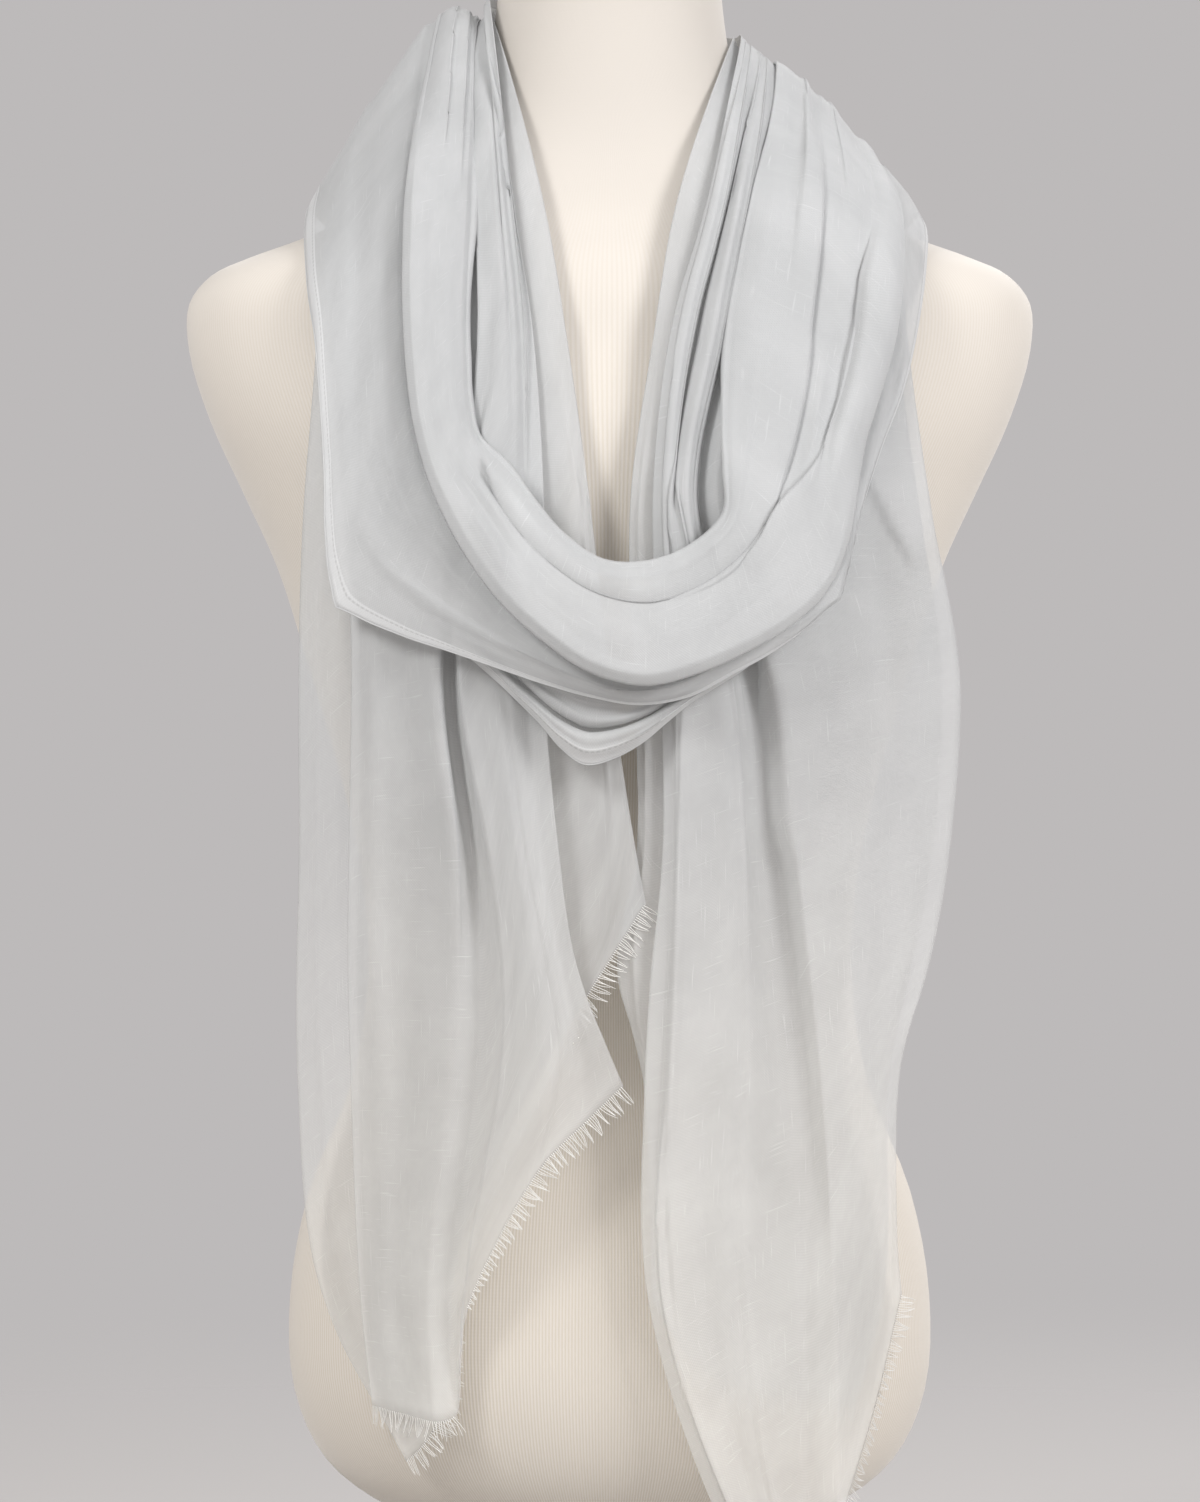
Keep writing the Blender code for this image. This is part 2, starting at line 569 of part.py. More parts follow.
def build_cloth(form_tree, gauze, collection):
    """All the stretches of the scarf, each laid over the ones below it."""
    below = [(form_tree, OVER_FORM)]
    for side, rows in (("right", RIGHT_TAIL_BACK), ("left", LEFT_TAIL_BACK)):
        back = lay_over(across([tail_line(row, "back", LEFT_STEPS) for row in rows]), below)
        add_cloth(side + "_tail_back", back, gauze, collection)
        skirt = add_fringe("fringe_" + side + "_back", back[-1], back[-2], gauze, collection)
        below += [(tree_of(back), OVER_CLOTH), (skirt, OVER_CLOTH + STRIP_THICKNESS)]

    folds = len(LEFT_TAIL_FRONT)
    lines = []
    for k, (left, right) in enumerate(zip(LEFT_TAIL_FRONT, RIGHT_TAIL_FRONT)):
        share = k / (folds - 1)
        centre = NAPE_INNER["low"] * (1 - share) + NAPE_INNER["high"] * share
        out = NAPE_INNER["off"] + NAPE_INNER["crest"] * (k % 2)
        up = tail_line(left, "front", LEFT_STEPS)[::-1]
        round_back = nape_line(right.ridge, left.ridge, centre, out, NAPE_STEPS)[::-1]
        down = tail_line(right, "front", RIGHT_STEPS)
        lines.append(up + round_back[1:-1] + down)
    strip = lay_over(across(lines), below)
    left_end = LEFT_STEPS
    right_end = LEFT_STEPS + NAPE_STEPS
    left_front = part_rows(strip, 0, left_end, False, True)
    nape_inner = part_rows(strip, left_end, right_end, True, True)
    right_front = part_rows(strip, right_end, len(strip) - 1, True, False)
    add_cloth("left_tail_front", left_front, gauze, collection)
    add_cloth("nape_inner", nape_inner, gauze, collection)
    add_cloth("right_tail_front", right_front, gauze, collection)
    below.append((tree_of(strip), OVER_CLOTH))

    lines = []
    for row in LOOP_UNDER_FOLD:
        places = spline(list(zip(UNDER_X, row.heights)), SAMPLES)
        line = [front_point(x, z, row.out, NECK_TOP) for x, z in places]
        lines.append(evenly(line, UNDER_STEPS))
    under = lay_over(across(lines), below)
    add_cloth("loop_under_fold", under, gauze, collection)
    below.append((tree_of(under), OVER_CLOTH))

    lines = []
    for k, row in enumerate(FRONT_LOOP):
        share = k / (len(FRONT_LOOP) - 1)
        centre = NAPE_OUTER["low"] * (1 - share) + NAPE_OUTER["high"] * share
        out = NAPE_OUTER["off"] + NAPE_OUTER["crest"] * (1 + sin(2.1 * k))
        front = loop_line(row, LOOP_STEPS)
        back = nape_line(row.right_ridge, row.left_ridge, centre, out, NAPE_STEPS)
        lines.append(front + back[1:])
    ring = lay_over(across(lines), below)
    ring[-1] = ring[0]
    front_loop = part_rows(ring, 0, LOOP_STEPS, True, True)
    nape_outer = part_rows(ring, LOOP_STEPS, len(ring) - 1, True, True)
    add_cloth("front_loop", front_loop, gauze, collection)
    add_cloth("nape_outer", nape_outer, gauze, collection)

    corner = CELLS * 4 + 1
    end, above = left_front[:2]
    add_fringe("fringe_left_corner", end[:corner], above[:corner], gauze, collection)
    add_fringe("fringe_left_front", end[corner + 1:], above[corner + 1:], gauze, collection)
    add_fringe("fringe_right_front", right_front[-1], right_front[-2], gauze, collection)


def main():
    for old in list(bpy.data.objects):
        bpy.data.objects.remove(old)
    collection = bpy.data.collections.new("looped_scarf")
    bpy.context.scene.collection.children.link(collection)
    gauze = material("light grey gauze", (0.62, 0.62, 0.61), 0.9)
    jersey = material("cream rib jersey", (0.80, 0.74, 0.64), 0.85)
    metal = material("brushed steel", (0.55, 0.55, 0.55), 0.35, 1.0)
    add_stand(metal, collection)
    form_tree = add_form(jersey, collection)
    build_cloth(form_tree, gauze, collection)


main()
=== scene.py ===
"""A light dove-grey gauze scarf, looped once round the neck of a limbless dress form.

Sizes in the tables are millimetres, and the meshes are metres. The front faces -Y.
"""
from collections import namedtuple
from math import cos, sin, pi, sqrt, exp
from random import Random

import bpy
import numpy as np
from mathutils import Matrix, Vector
from mathutils.bvhtree import BVHTree


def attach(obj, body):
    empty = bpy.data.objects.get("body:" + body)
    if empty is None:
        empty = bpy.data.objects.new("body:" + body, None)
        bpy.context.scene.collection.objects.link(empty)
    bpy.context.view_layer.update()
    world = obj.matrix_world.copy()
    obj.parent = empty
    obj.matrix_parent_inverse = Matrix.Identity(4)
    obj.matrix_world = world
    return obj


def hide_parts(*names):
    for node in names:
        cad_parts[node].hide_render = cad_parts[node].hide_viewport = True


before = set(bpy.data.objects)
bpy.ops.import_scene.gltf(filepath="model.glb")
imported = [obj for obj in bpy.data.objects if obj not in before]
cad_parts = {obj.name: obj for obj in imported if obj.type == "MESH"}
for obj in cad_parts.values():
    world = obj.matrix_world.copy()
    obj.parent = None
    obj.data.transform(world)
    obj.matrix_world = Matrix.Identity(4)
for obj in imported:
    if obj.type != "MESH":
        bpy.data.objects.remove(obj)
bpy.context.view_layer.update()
MM = 0.001


# The camera stands level with the middle of the form, about three metres away,
# on a long lens, as a shop's photographer would stand.
camera_lens = bpy.data.cameras.new("camera")
camera_lens.lens = 156
camera_lens.sensor_width = 36
camera = bpy.data.objects.new("camera", camera_lens)
camera.location = (-0.0046, -3.1, 0.448)
camera.rotation_euler = (pi / 2, 0, 0)
bpy.context.scene.collection.objects.link(camera)
bpy.context.scene.camera = camera


# A pale paper floor, matt and seamless, flat under the stand. It thins out to
# nothing a long way round it, so that its edge melts into the pale room.
PAPER_REACH = 2.7           # m


def linear(shade):
    """An sRGB hex colour as linear red, green, blue and full alpha."""
    parts = [int(shade[i:i + 2], 16) / 255 for i in (1, 3, 5)]
    return (*[p / 12.92 if p <= 0.04045 else ((p + 0.055) / 1.055) ** 2.4 for p in parts], 1.0)


def feed(tree, node, feeds):
    """Feeds a node's inputs: each from a value, a socket, or another node's first output."""
    for name, value in feeds.items():
        if isinstance(value, bpy.types.Node):
            value = next(socket for socket in value.outputs if socket.enabled)
        if isinstance(value, bpy.types.NodeSocket):
            tree.links.new(value, node.inputs[name])
        else:
            node.inputs[name].default_value = value


def add_node(tree, kind, settings, feeds):
    """A new node, with its own settings and what feeds its inputs."""
    made = tree.nodes.new(kind)
    for name, value in settings.items():
        setattr(made, name, value)
    feed(tree, made, feeds)
    return made


def new_material(name):
    """A material with its Principled shader, and the tree that feeds it."""
    made = bpy.data.materials.new(name)
    made.use_nodes = True
    return made, made.node_tree, made.node_tree.nodes["Principled BSDF"]


paper, paper_tree, paper_shader = new_material("seamless_paper")
paper_place = add_node(paper_tree, "ShaderNodeNewGeometry", {}, {})
paper_grain = add_node(paper_tree, "ShaderNodeTexNoise", {}, {
    "Vector": paper_place, "Scale": 900.0, "Detail": 2.0})
paper_bump = add_node(paper_tree, "ShaderNodeBump", {}, {
    "Height": paper_grain, "Strength": 0.12, "Distance": 0.0003})
paper_reach = add_node(paper_tree, "ShaderNodeVectorMath", {"operation": "LENGTH"}, {
    0: paper_place})
paper_fade = add_node(paper_tree, "ShaderNodeMapRange", {"interpolation_type": "SMOOTHSTEP"}, {
    "Value": paper_reach, "From Min": 0.3, "From Max": 2.4, "To Min": 1.0, "To Max": 0.0})
feed(paper_tree, paper_shader, {
    "Base Color": linear("#b9b6b4"), "Roughness": 0.92, "Normal": paper_bump, "Alpha": paper_fade})

bpy.ops.mesh.primitive_circle_add(
    vertices=96, radius=PAPER_REACH, fill_type="NGON", location=(0, 0, -0.0005))
floor = bpy.context.object
floor.name = "floor"
floor.data.materials.append(paper)


# Soft studio light: a big softbox high at the front left, a wide fill from the
# right, a weaker one behind for the back, and an even pale room all round.
def add_softbox(name, place, aim, width, watts, shade):
    light = bpy.data.lights.new(name, "AREA")
    light.size = width
    light.energy = watts
    light.color = linear(shade)[:3]
    box = bpy.data.objects.new(name, light)
    box.location = place
    box.rotation_euler = (Vector(aim) - Vector(place)).to_track_quat("-Z", "Y").to_euler()
    bpy.context.scene.collection.objects.link(box)


add_softbox("key_softbox", (-1.8, -2.0, 2.2), (0, 0, 0.5), 0.9, 54, "#ffffff")
add_softbox("fill_softbox", (2.0, -1.9, 1.7), (0, 0, 0.4), 1.1, 58, "#fdfdff")
add_softbox("back_softbox", (1.2, 2.6, 2.2), (0, 0, 0.5), 1.6, 50, "#ffffff")
room = bpy.data.worlds.new("pale_room")
room.use_nodes = True
feed(room.node_tree, room.node_tree.nodes["Background"], {"Color": linear("#c6c3c3"), "Strength": 0.9})
bpy.context.scene.world = room
bpy.context.scene.view_settings.view_transform = "Standard"


# The dress form: a hard limbless torso with a neck, turned from a mould and
# covered with a cream cotton jersey knitted in fine upright ribs. A row of the
# table is one level of it.
Ring = namedtuple("Ring", "z half_width front back")
FORM = [
    Ring(838, 48, 47, 54), Ring(822, 52, 49, 56), Ring(800, 54, 50, 59),
    Ring(776, 58, 54, 66), Ring(752, 68, 60, 76), Ring(733, 86, 66, 84),
    Ring(714, 108, 73, 90), Ring(700, 126, 78, 94), Ring(690, 148, 82, 96),
    Ring(681, 173, 85, 98), Ring(673, 190, 88, 100), Ring(660, 200, 92, 101),
    Ring(638, 200, 97, 102), Ring(605, 190, 108, 104), Ring(570, 174, 113, 103),
    Ring(535, 158, 114, 98), Ring(491, 144, 106, 90), Ring(440, 129, 96, 80),
    Ring(390, 118, 91, 73), Ring(340, 115, 92, 75), Ring(290, 123, 98, 86),
    Ring(239, 143, 103, 100), Ring(190, 152, 105, 108), Ring(145, 150, 102, 105),
    Ring(112, 135, 91, 92), Ring(90, 106, 74, 76), Ring(77, 70, 52, 52),
    Ring(72, 50, 40, 40),
]
FORM_SIDES = 28
BUST = {"x": 78, "z": 560, "out": 15, "wide": 42, "tall": 48}
OVAL = 2.0                  # an ellipse; more is squarer
SQUARER_SHOULDERS = 0.6
ROUNDER_HIPS = 0.35
RIBS_ROUND = 520            # ribs round the body, about 1.6 mm each at the hips
STITCH = 1.6                # mm from one row of knitting to the next


def ease(share):
    share = min(1.0, max(0.0, share))
    return share * share * (3 - 2 * share)


def form_point(ring, turn):
    """A point of one level: a soft oval, squarer at the shoulders, fuller at the bust."""
    square = OVAL + SQUARER_SHOULDERS * ease((745 - ring.z) / 40)
    square -= ROUNDER_HIPS * ease((640 - ring.z) / 100)
    depth = ring.front if sin(turn) < 0 else ring.back
    x = ring.half_width * abs(cos(turn)) ** (2 / square) * (1 if cos(turn) > 0 else -1)
    y = depth * abs(sin(turn)) ** (2 / square) * (1 if sin(turn) > 0 else -1)
    if y < 0:
        near = ((abs(x) - BUST["x"]) / BUST["wide"]) ** 2 + ((ring.z - BUST["z"]) / BUST["tall"]) ** 2
        y -= BUST["out"] * exp(-near) * min(1.0, -y / 60)
    return (x, y, ring.z)


def finer(grid, steps, closed=False):
    """The grid with each step along it cut into smaller ones, on a smooth curve."""
    if closed:
        knots = np.concatenate([grid[-2:-1], grid, grid[1:2]])
    else:
        knots = np.concatenate([2 * grid[:1] - grid[1:2], grid, 2 * grid[-1:] - grid[-2:-1]])
    a, b, c, d = knots[:-3], knots[1:-2], knots[2:-1], knots[3:]
    t1, t2, t3 = [np.sqrt(np.linalg.norm(q - p, axis=2, keepdims=True)) + 1e-6
                  for p, q in ((a, b), (b, c), (c, d))]
    t2 += t1
    t3 += t2
    parts = []
    for step in range(steps):
        t = t1 + (t2 - t1) * step / steps
        ab = a * ((t1 - t) / t1) + b * (t / t1)
        bc = b * ((t2 - t) / (t2 - t1)) + c * ((t - t1) / (t2 - t1))
        cd = c * ((t3 - t) / (t3 - t2)) + d * ((t - t2) / (t3 - t2))
        abc = ab * ((t2 - t) / t2) + bc * (t / t2)
        bcd = bc * ((t3 - t) / (t3 - t1)) + cd * ((t - t1) / (t3 - t1))
        parts.append(abc * ((t2 - t) / (t2 - t1)) + bcd * ((t - t1) / (t2 - t1)))
    fine = np.stack(parts, axis=1).reshape(-1, grid.shape[1], 3)
    return np.concatenate([fine, grid[-1:]])


def quads(rows, columns):
    """The faces of a grid of that many points."""
    first = np.arange(rows - 1)[:, None] * columns + np.arange(columns - 1)[None, :]
    return np.stack([first, first + 1, first + columns + 1, first + columns], axis=2).reshape(-1, 4)


def mesh_object(name, points, faces, surface, maps):
    """A smooth named object from points in millimetres, with its named UV maps."""
    mesh = bpy.data.meshes.new(name)
    mesh.from_pydata((points * MM).tolist(), [], faces.tolist())
    for label, values in maps.items():
        layer = mesh.uv_layers.new(name=label)
        layer.data.foreach_set("uv", values.reshape(-1, 2)[faces.reshape(-1)].ravel())
    mesh.shade_smooth()
    mesh.materials.append(surface)
    made = bpy.data.objects.new(name, mesh)
    bpy.context.scene.collection.objects.link(made)
    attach(made, "root")
    return made


def grid_object(name, grid, maps, surface):
    """A grid of points as a smooth named object."""
    return mesh_object(name, grid.reshape(-1, 3), quads(*grid.shape[:2]), surface, maps)


jersey, jersey_tree, jersey_shader = new_material("cream_rib_jersey")
jersey_map = add_node(jersey_tree, "ShaderNodeUVMap", {"uv_map": "ribs"}, {})
jersey_parts = add_node(jersey_tree, "ShaderNodeSeparateXYZ", {}, {"Vector": jersey_map})
# one wave is one rib, and the rows of stitches break it up along its length
rib_turn = add_node(jersey_tree, "ShaderNodeMath", {"operation": "MULTIPLY"}, {
    0: jersey_parts.outputs["X"], 1: 2 * pi})
rib_wave = add_node(jersey_tree, "ShaderNodeMath", {"operation": "SINE"}, {0: rib_turn})
row_turn = add_node(jersey_tree, "ShaderNodeMath", {"operation": "MULTIPLY"}, {
    0: jersey_parts.outputs["Y"], 1: 2 * pi * 1000 / STITCH})
row_wave = add_node(jersey_tree, "ShaderNodeMath", {"operation": "SINE"}, {0: row_turn})
rib_height = add_node(jersey_tree, "ShaderNodeMath", {"operation": "MULTIPLY_ADD"}, {
    0: row_wave, 1: 0.18, 2: rib_wave})
# toward the neck the ribs are pulled close and flat, and hardly show
jersey_place = add_node(jersey_tree, "ShaderNodeNewGeometry", {}, {})
jersey_high = add_node(jersey_tree, "ShaderNodeSeparateXYZ", {}, {"Vector": jersey_place})
rib_fade = add_node(jersey_tree, "ShaderNodeMapRange", {}, {
    "Value": jersey_high.outputs["Z"], "From Min": 0.5, "From Max": 0.7, "To Min": 1.0, "To Max": 0.2})
rib_height = add_node(jersey_tree, "ShaderNodeMath", {"operation": "MULTIPLY"}, {
    0: rib_height, 1: rib_fade})
rib_bump = add_node(jersey_tree, "ShaderNodeBump", {}, {
    "Height": rib_height, "Strength": 0.2, "Distance": 0.0002})
# painted shade: the grooves between the ribs are painted a shade darker, less so toward the neck
rib_groove = add_node(jersey_tree, "ShaderNodeMapRange", {}, {
    "Value": rib_wave, "From Min": -1.0, "From Max": 0.6, "To Min": 1.0, "To Max": 0.0})
rib_groove_painted_shade = add_node(jersey_tree, "ShaderNodeMath", {"operation": "MULTIPLY"}, {
    0: rib_groove, 1: rib_fade})
jersey_cloud = add_node(jersey_tree, "ShaderNodeTexNoise", {}, {
    "Vector": jersey_place, "Scale": 9.0, "Detail": 3.0})
jersey_warmth = add_node(jersey_tree, "ShaderNodeMix", {"data_type": "RGBA"}, {
    "Factor": jersey_cloud, "A": linear("#dfd9d1"), "B": linear("#d9d2c8")})
# painted shade: toward the neck the jersey is painted a shade deeper, where the lamps light the round neck
# more than the shoulders
neck_painted_shade = add_node(jersey_tree, "ShaderNodeMapRange", {"interpolation_type": "SMOOTHSTEP"}, {
    "Value": jersey_high.outputs["Z"], "From Min": 0.66, "From Max": 0.76})
jersey_warmth = add_node(jersey_tree, "ShaderNodeMix", {"data_type": "RGBA"}, {
    "Factor": neck_painted_shade, "A": jersey_warmth, "B": linear("#cdc7bf")})
jersey_tone = add_node(jersey_tree, "ShaderNodeMix", {"data_type": "RGBA"}, {
    "Factor": rib_groove_painted_shade, "A": jersey_warmth, "B": linear("#d1c8b8")})
feed(jersey_tree, jersey_shader, {"Base Color": jersey_tone, "Normal": rib_bump, "Roughness": 0.88,
                                  "Sheen Weight": 0.25, "Sheen Roughness": 0.5})

form_rings = np.array([[form_point(ring, 2 * pi * k / FORM_SIDES) for k in range(FORM_SIDES + 1)]
                       for ring in FORM])
form_grid = finer(form_rings, 4)
form_grid = finer(form_grid.swapaxes(0, 1), 5, closed=True).swapaxes(0, 1)
# the flat ends, closed in by smaller and smaller rings
cap_shares = np.array([0.97, 0.6, 0.25, 0.02])[:, None, None]
neck_cap, under_cap = [middle + (ring[None] - middle) * cap_shares
                       for ring, middle in ((form_grid[k], form_grid[k].mean(axis=0)) for k in (0, -1))]
form_grid = np.concatenate([neck_cap[::-1], form_grid, under_cap])
rib_map = np.zeros((*form_grid.shape[:2], 2))
round_steps = np.linalg.norm(np.diff(form_grid, axis=1), axis=2).mean(axis=0)
rib_map[:, 1:, 0] = (np.cumsum(round_steps) * RIBS_ROUND / round_steps.sum())[None, :]
rib_steps = np.linalg.norm(np.diff(form_grid, axis=0), axis=2).mean(axis=1)
rib_map[1:, :, 1] = (np.cumsum(rib_steps) * MM)[:, None]
form = grid_object("jersey_form", form_grid, {"ribs": rib_map}, jersey)
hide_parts("dress_form")


# The stand: a steel post with a screwed flange under the form, and a heavy round
# base. Both are brushed, so fine marks run round them and stretch the highlights.
STAND_SIDES = 96
Turn = namedtuple("Turn", "radius z")
POST = [
    Turn(1, 71.7), Turn(37, 71.7), Turn(38, 71.0), Turn(38, 66.5), Turn(37.2, 65.7), Turn(17, 63.5),
    Turn(14, 60.5), Turn(14, 16.0), Turn(14.8, 13.0), Turn(15.2, 12.4), Turn(1, 12.3),
]
BASE = [
    Turn(1, 12.0), Turn(117.5, 12.0), Turn(119.3, 11.3), Turn(120, 9.8), Turn(120, 2.0),
    Turn(119.4, 0.6), Turn(118, 0.0), Turn(1, 0.0),
]
steel, steel_tree, steel_shader = new_material("brushed_steel")
steel_map = add_node(steel_tree, "ShaderNodeUVMap", {"uv_map": "turned"}, {})
steel_marks = add_node(steel_tree, "ShaderNodeTexNoise", {}, {
    "Vector": add_node(steel_tree, "ShaderNodeMapping", {}, {
        "Vector": steel_map, "Scale": (3.0, 2600.0, 1.0)}),
    "Scale": 1.0, "Detail": 4.0, "Roughness": 0.7})
steel_rough = add_node(steel_tree, "ShaderNodeMapRange", {}, {
    "Value": steel_marks, "To Min": 0.24, "To Max": 0.42})
steel_bump = add_node(steel_tree, "ShaderNodeBump", {}, {
    "Height": steel_marks, "Strength": 0.2, "Distance": 0.0001})
feed(steel_tree, steel_shader, {
    "Base Color": linear("#c9c8c6"), "Metallic": 1.0, "Roughness": steel_rough, "Normal": steel_bump})


def turned(name, profile, node):
    """A turned piece of the stand, from its profile."""
    turns = np.linspace(0, 2 * pi, STAND_SIDES + 1)
    grid = np.array([[(p.radius * cos(t), p.radius * sin(t), p.z) for t in turns] for p in profile])
    around = np.zeros((*grid.shape[:2], 2))
    around[..., 0] = np.linspace(0, 1, STAND_SIDES + 1)[None, :]
    run = [0.0]
    for a, b in zip(profile, profile[1:]):
        run.append(run[-1] + sqrt((b.radius - a.radius) ** 2 + (b.z - a.z) ** 2) * MM)
    around[..., 1] = np.array(run)[:, None]
    made = grid_object(name, grid, {"turned": around}, steel)
    made.data.set_sharp_from_angle(angle=0.6)
    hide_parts(node)


turned("steel_post", POST, "stand_post")
turned("steel_base", BASE, "stand_base")


# The cloth: cotton and viscose gauze in an open plain weave of slubby dove-grey
# yarn, soft, crinkled and half sheer. Its fold lines are laid as smooth curves,
# each stretch over what lies under it.
RIDGE_Y = 4.0               # where the shoulder's top line runs, front to back
NECK_TOP = 800.0
ROLL = 75.0                 # how far below its top a stretch is still rolling over the shoulder
CELLS = 2                   # steps from one fold to the next in a laid stretch
SAMPLES = 12                # steps from one place to the next along a fold
OVER_FORM = 1.7             # clearances of a laid stretch
OVER_CLOTH = 2.0
STRAND_REACH = 10.8
CORE_TOP = 790              # the core that outward is measured from: the neck, then the shoulders
CORE_SIDE = 55
CORE_DROP = 4
CORE_SHOULDER = 730
CORE_SLOPE = 0.75
PROBE = 70.0                # how far from a point the layers below it are looked for
SHEET_GAP = 1.0             # between the middles of two thin sheets, or a sheet and the form
SHELL = 0.45                # thickness of the thin cloth

# how far in front of the form's middle the cloth hangs at each height, how much less
# toward the sides, and how far behind
Hang = namedtuple("Hang", "z front bow back")
HANG = [
    Hang(820, 56, 0.0060, 60), Hang(760, 64, 0.0050, 80), Hang(700, 84, 0.0009, 102),
    Hang(640, 104, 0.0012, 109), Hang(560, 125, 0.0019, 106), Hang(480, 125, 0.0022, 98),
    Hang(380, 122, 0.0028, 92), Hang(280, 118, 0.0030, 96), Hang(180, 115, 0.0032, 104),
    Hang(20, 112, 0.0032, 104),
]


def read(table, key, column):
    """A column's value at any height, between the table's rows."""
    rows = sorted(table)
    if key <= rows[0].z:
        return getattr(rows[0], column)
    for low, high in zip(rows, rows[1:]):
        if key <= high.z:
            share = (key - low.z) / (high.z - low.z)
            return getattr(low, column) * (1 - share) + getattr(high, column) * share
    return getattr(rows[-1], column)


def spline(points, steps):
    """A smooth curve through a few places."""
    flat = np.array([tuple(point) for point in points], dtype=float)
    if flat.shape[1] == 2:
        flat = np.column_stack([flat, np.zeros(len(flat))])
    return [Vector(point) for point in finer(flat[:, None, :], steps)[:, 0, :]]


def evenly(curve, count):
    """The curve again, as count equal steps."""
    lengths = [0.0]
    for a, b in zip(curve, curve[1:]):
        lengths.append(lengths[-1] + (b - a).length)
    result = []
    at = 0
    for step in range(count + 1):
        wanted = lengths[-1] * step / count
        while at < len(curve) - 2 and lengths[at + 1] < wanted:
            at += 1
        span = max(lengths[at + 1] - lengths[at], 1e-9)
        result.append(curve[at].lerp(curve[at + 1], (wanted - lengths[at]) / span))
    return result


def front_point(x, z, out, ridge_z):
    """A point of the front: the hang at that height, rolled over the shoulder."""
    drop = min(1.0, max(0.0, (ridge_z - z) / ROLL))
    reach = read(HANG, z, "front") - read(HANG, z, "bow") * x * x + out * ease(drop)
    return Vector((x, RIDGE_Y - (reach + RIDGE_Y) * sqrt(1 - (1 - drop) ** 2), z))


def across(lines):
    """The grid of a stretch: a smooth section through the folds at each station."""
    return [spline(station, CELLS) for station in zip(*lines)]


def outward(point):
    """Away from the form's middle: level round the neck, upward over the shoulders."""
    side = abs(point.x)
    neck_z = CORE_TOP - CORE_DROP * max(0.0, side - CORE_SIDE)
    core_z = max(neck_z, CORE_SHOULDER - CORE_SLOPE * side)
    return (point - Vector((0.5 * point.x, 0, min(point.z, core_z)))).normalized()


def shortfall(point, layers):
    """How far a point must move outward to clear the layers below it."""
    way = outward(point)
    need = 0.0
    for tree, gap in layers:
        hit, normal, _, distance = tree.ray_cast(point + way * PROBE, -way, 2 * PROBE)
        if hit is not None:
            facing = max(0.5, abs(normal.dot(way)))
            need = max(need, gap / facing + PROBE - distance)
    return need


def needs(grid, layers):
    """The largest shortfall near each point of the grid, from nine places in each cell."""
    rows, columns = len(grid), len(grid[0])
    need = [[0.0] * columns for _ in range(rows)]
    for j in range(rows - 1):
        for i in range(columns - 1):
            short = 0.0
            for u in (0, 0.5, 1):
                for v in (0, 0.5, 1):
                    near = grid[j][i].lerp(grid[j][i + 1], u)
                    far = grid[j + 1][i].lerp(grid[j + 1][i + 1], u)
                    short = max(short, shortfall(near.lerp(far, v), layers))
            for a, b in ((j, i), (j + 1, i), (j, i + 1), (j + 1, i + 1)):
                need[a][b] = max(need[a][b], short)
    return need


def widened(move, spread):
    """The largest value within so many columns and one station of each point."""
    rows, columns = len(move), len(move[0])
    return [[max(move[a][b]
                 for a in range(max(0, j - 1), min(rows, j + 2))
                 for b in range(max(0, i - spread), min(columns, i + spread + 1)))
             for i in range(columns)] for j in range(rows)]


def eased(move, floor_values):
    """The mean of each point's neighbours, but never below the floor values."""
    rows, columns = len(move), len(move[0])
    result = []
    for j in range(rows):
        result.append([])
        for i in range(columns):
            near = [move[a][b] for a in (j - 1, j, j + 1) for b in (i - 1, i, i + 1)
                    if 0 <= a < rows and 0 <= b < columns]
            result[j].append(max(floor_values[j][i], sum(near) / len(near)))
    return result


def lay_over(grid, layers):
    """Moves a stretch out over what lies below it. Whole folds move together."""
    for spread, rounds in ((CELLS, 8), (CELLS, 2), (1, 1)):
        need = needs(grid, layers)
        move = widened(need, spread)
        for _ in range(rounds):
            move = eased(move, need)
        grid = [[point + outward(point) * move[j][i] for i, point in enumerate(station)]
                for j, station in enumerate(grid)]
    return grid


def tree_of(grid):
    """A grid's surface, for laying the next stretch over it."""
    flat = np.array([[tuple(point) for point in station] for station in grid])
    return BVHTree.FromPolygons(flat.reshape(-1, 3).tolist(), quads(*flat.shape[:2]).tolist())


def skirt_of(edge, above):
    """The surface in which a fringe hangs from a cut end."""
    tips = []
    for i, (low, high) in enumerate(zip(edge, above)):
        along = (edge[min(i + 1, len(edge) - 1)] - edge[max(i - 1, 0)]).normalized()
        fall = low - high
        tips.append(low + (fall - along * fall.dot(along)).normalized() * STRAND_REACH)
    return tree_of([edge, tips])


coarse_layers = [(tree_of(form_rings), OVER_FORM)]
fine_points = []
fine_faces = []


def keep_below(grid):
    """Adds a fine grid to what the next stretches rest on."""
    fine_faces.append(quads(*grid.shape[:2]) + sum(len(points) for points in fine_points))
    fine_points.append(grid.reshape(-1, 3))


def all_below():
    """The surface of everything laid so far."""
    return BVHTree.FromPolygons(np.concatenate(fine_points).tolist(), np.concatenate(fine_faces).tolist())


keep_below(form_grid)


def outward_of(grid):
    """The outward way at every point of a fine grid."""
    side = np.abs(grid[..., 0])
    neck_z = CORE_TOP - CORE_DROP * np.maximum(0.0, side - CORE_SIDE)
    core_z = np.maximum(neck_z, CORE_SHOULDER - CORE_SLOPE * side)
    core = np.stack([0.5 * grid[..., 0], 0 * side, np.minimum(grid[..., 2], core_z)], axis=2)
    way = grid - core
    return way / np.linalg.norm(way, axis=2, keepdims=True)


def neighbours(values):
    """The grid of values nine times over: each value's neighbours and itself."""
    padded = np.pad(values, 1, mode="edge")
    rows, columns = values.shape
    return [padded[a:a + rows, b:b + columns] for a in range(3) for b in range(3)]


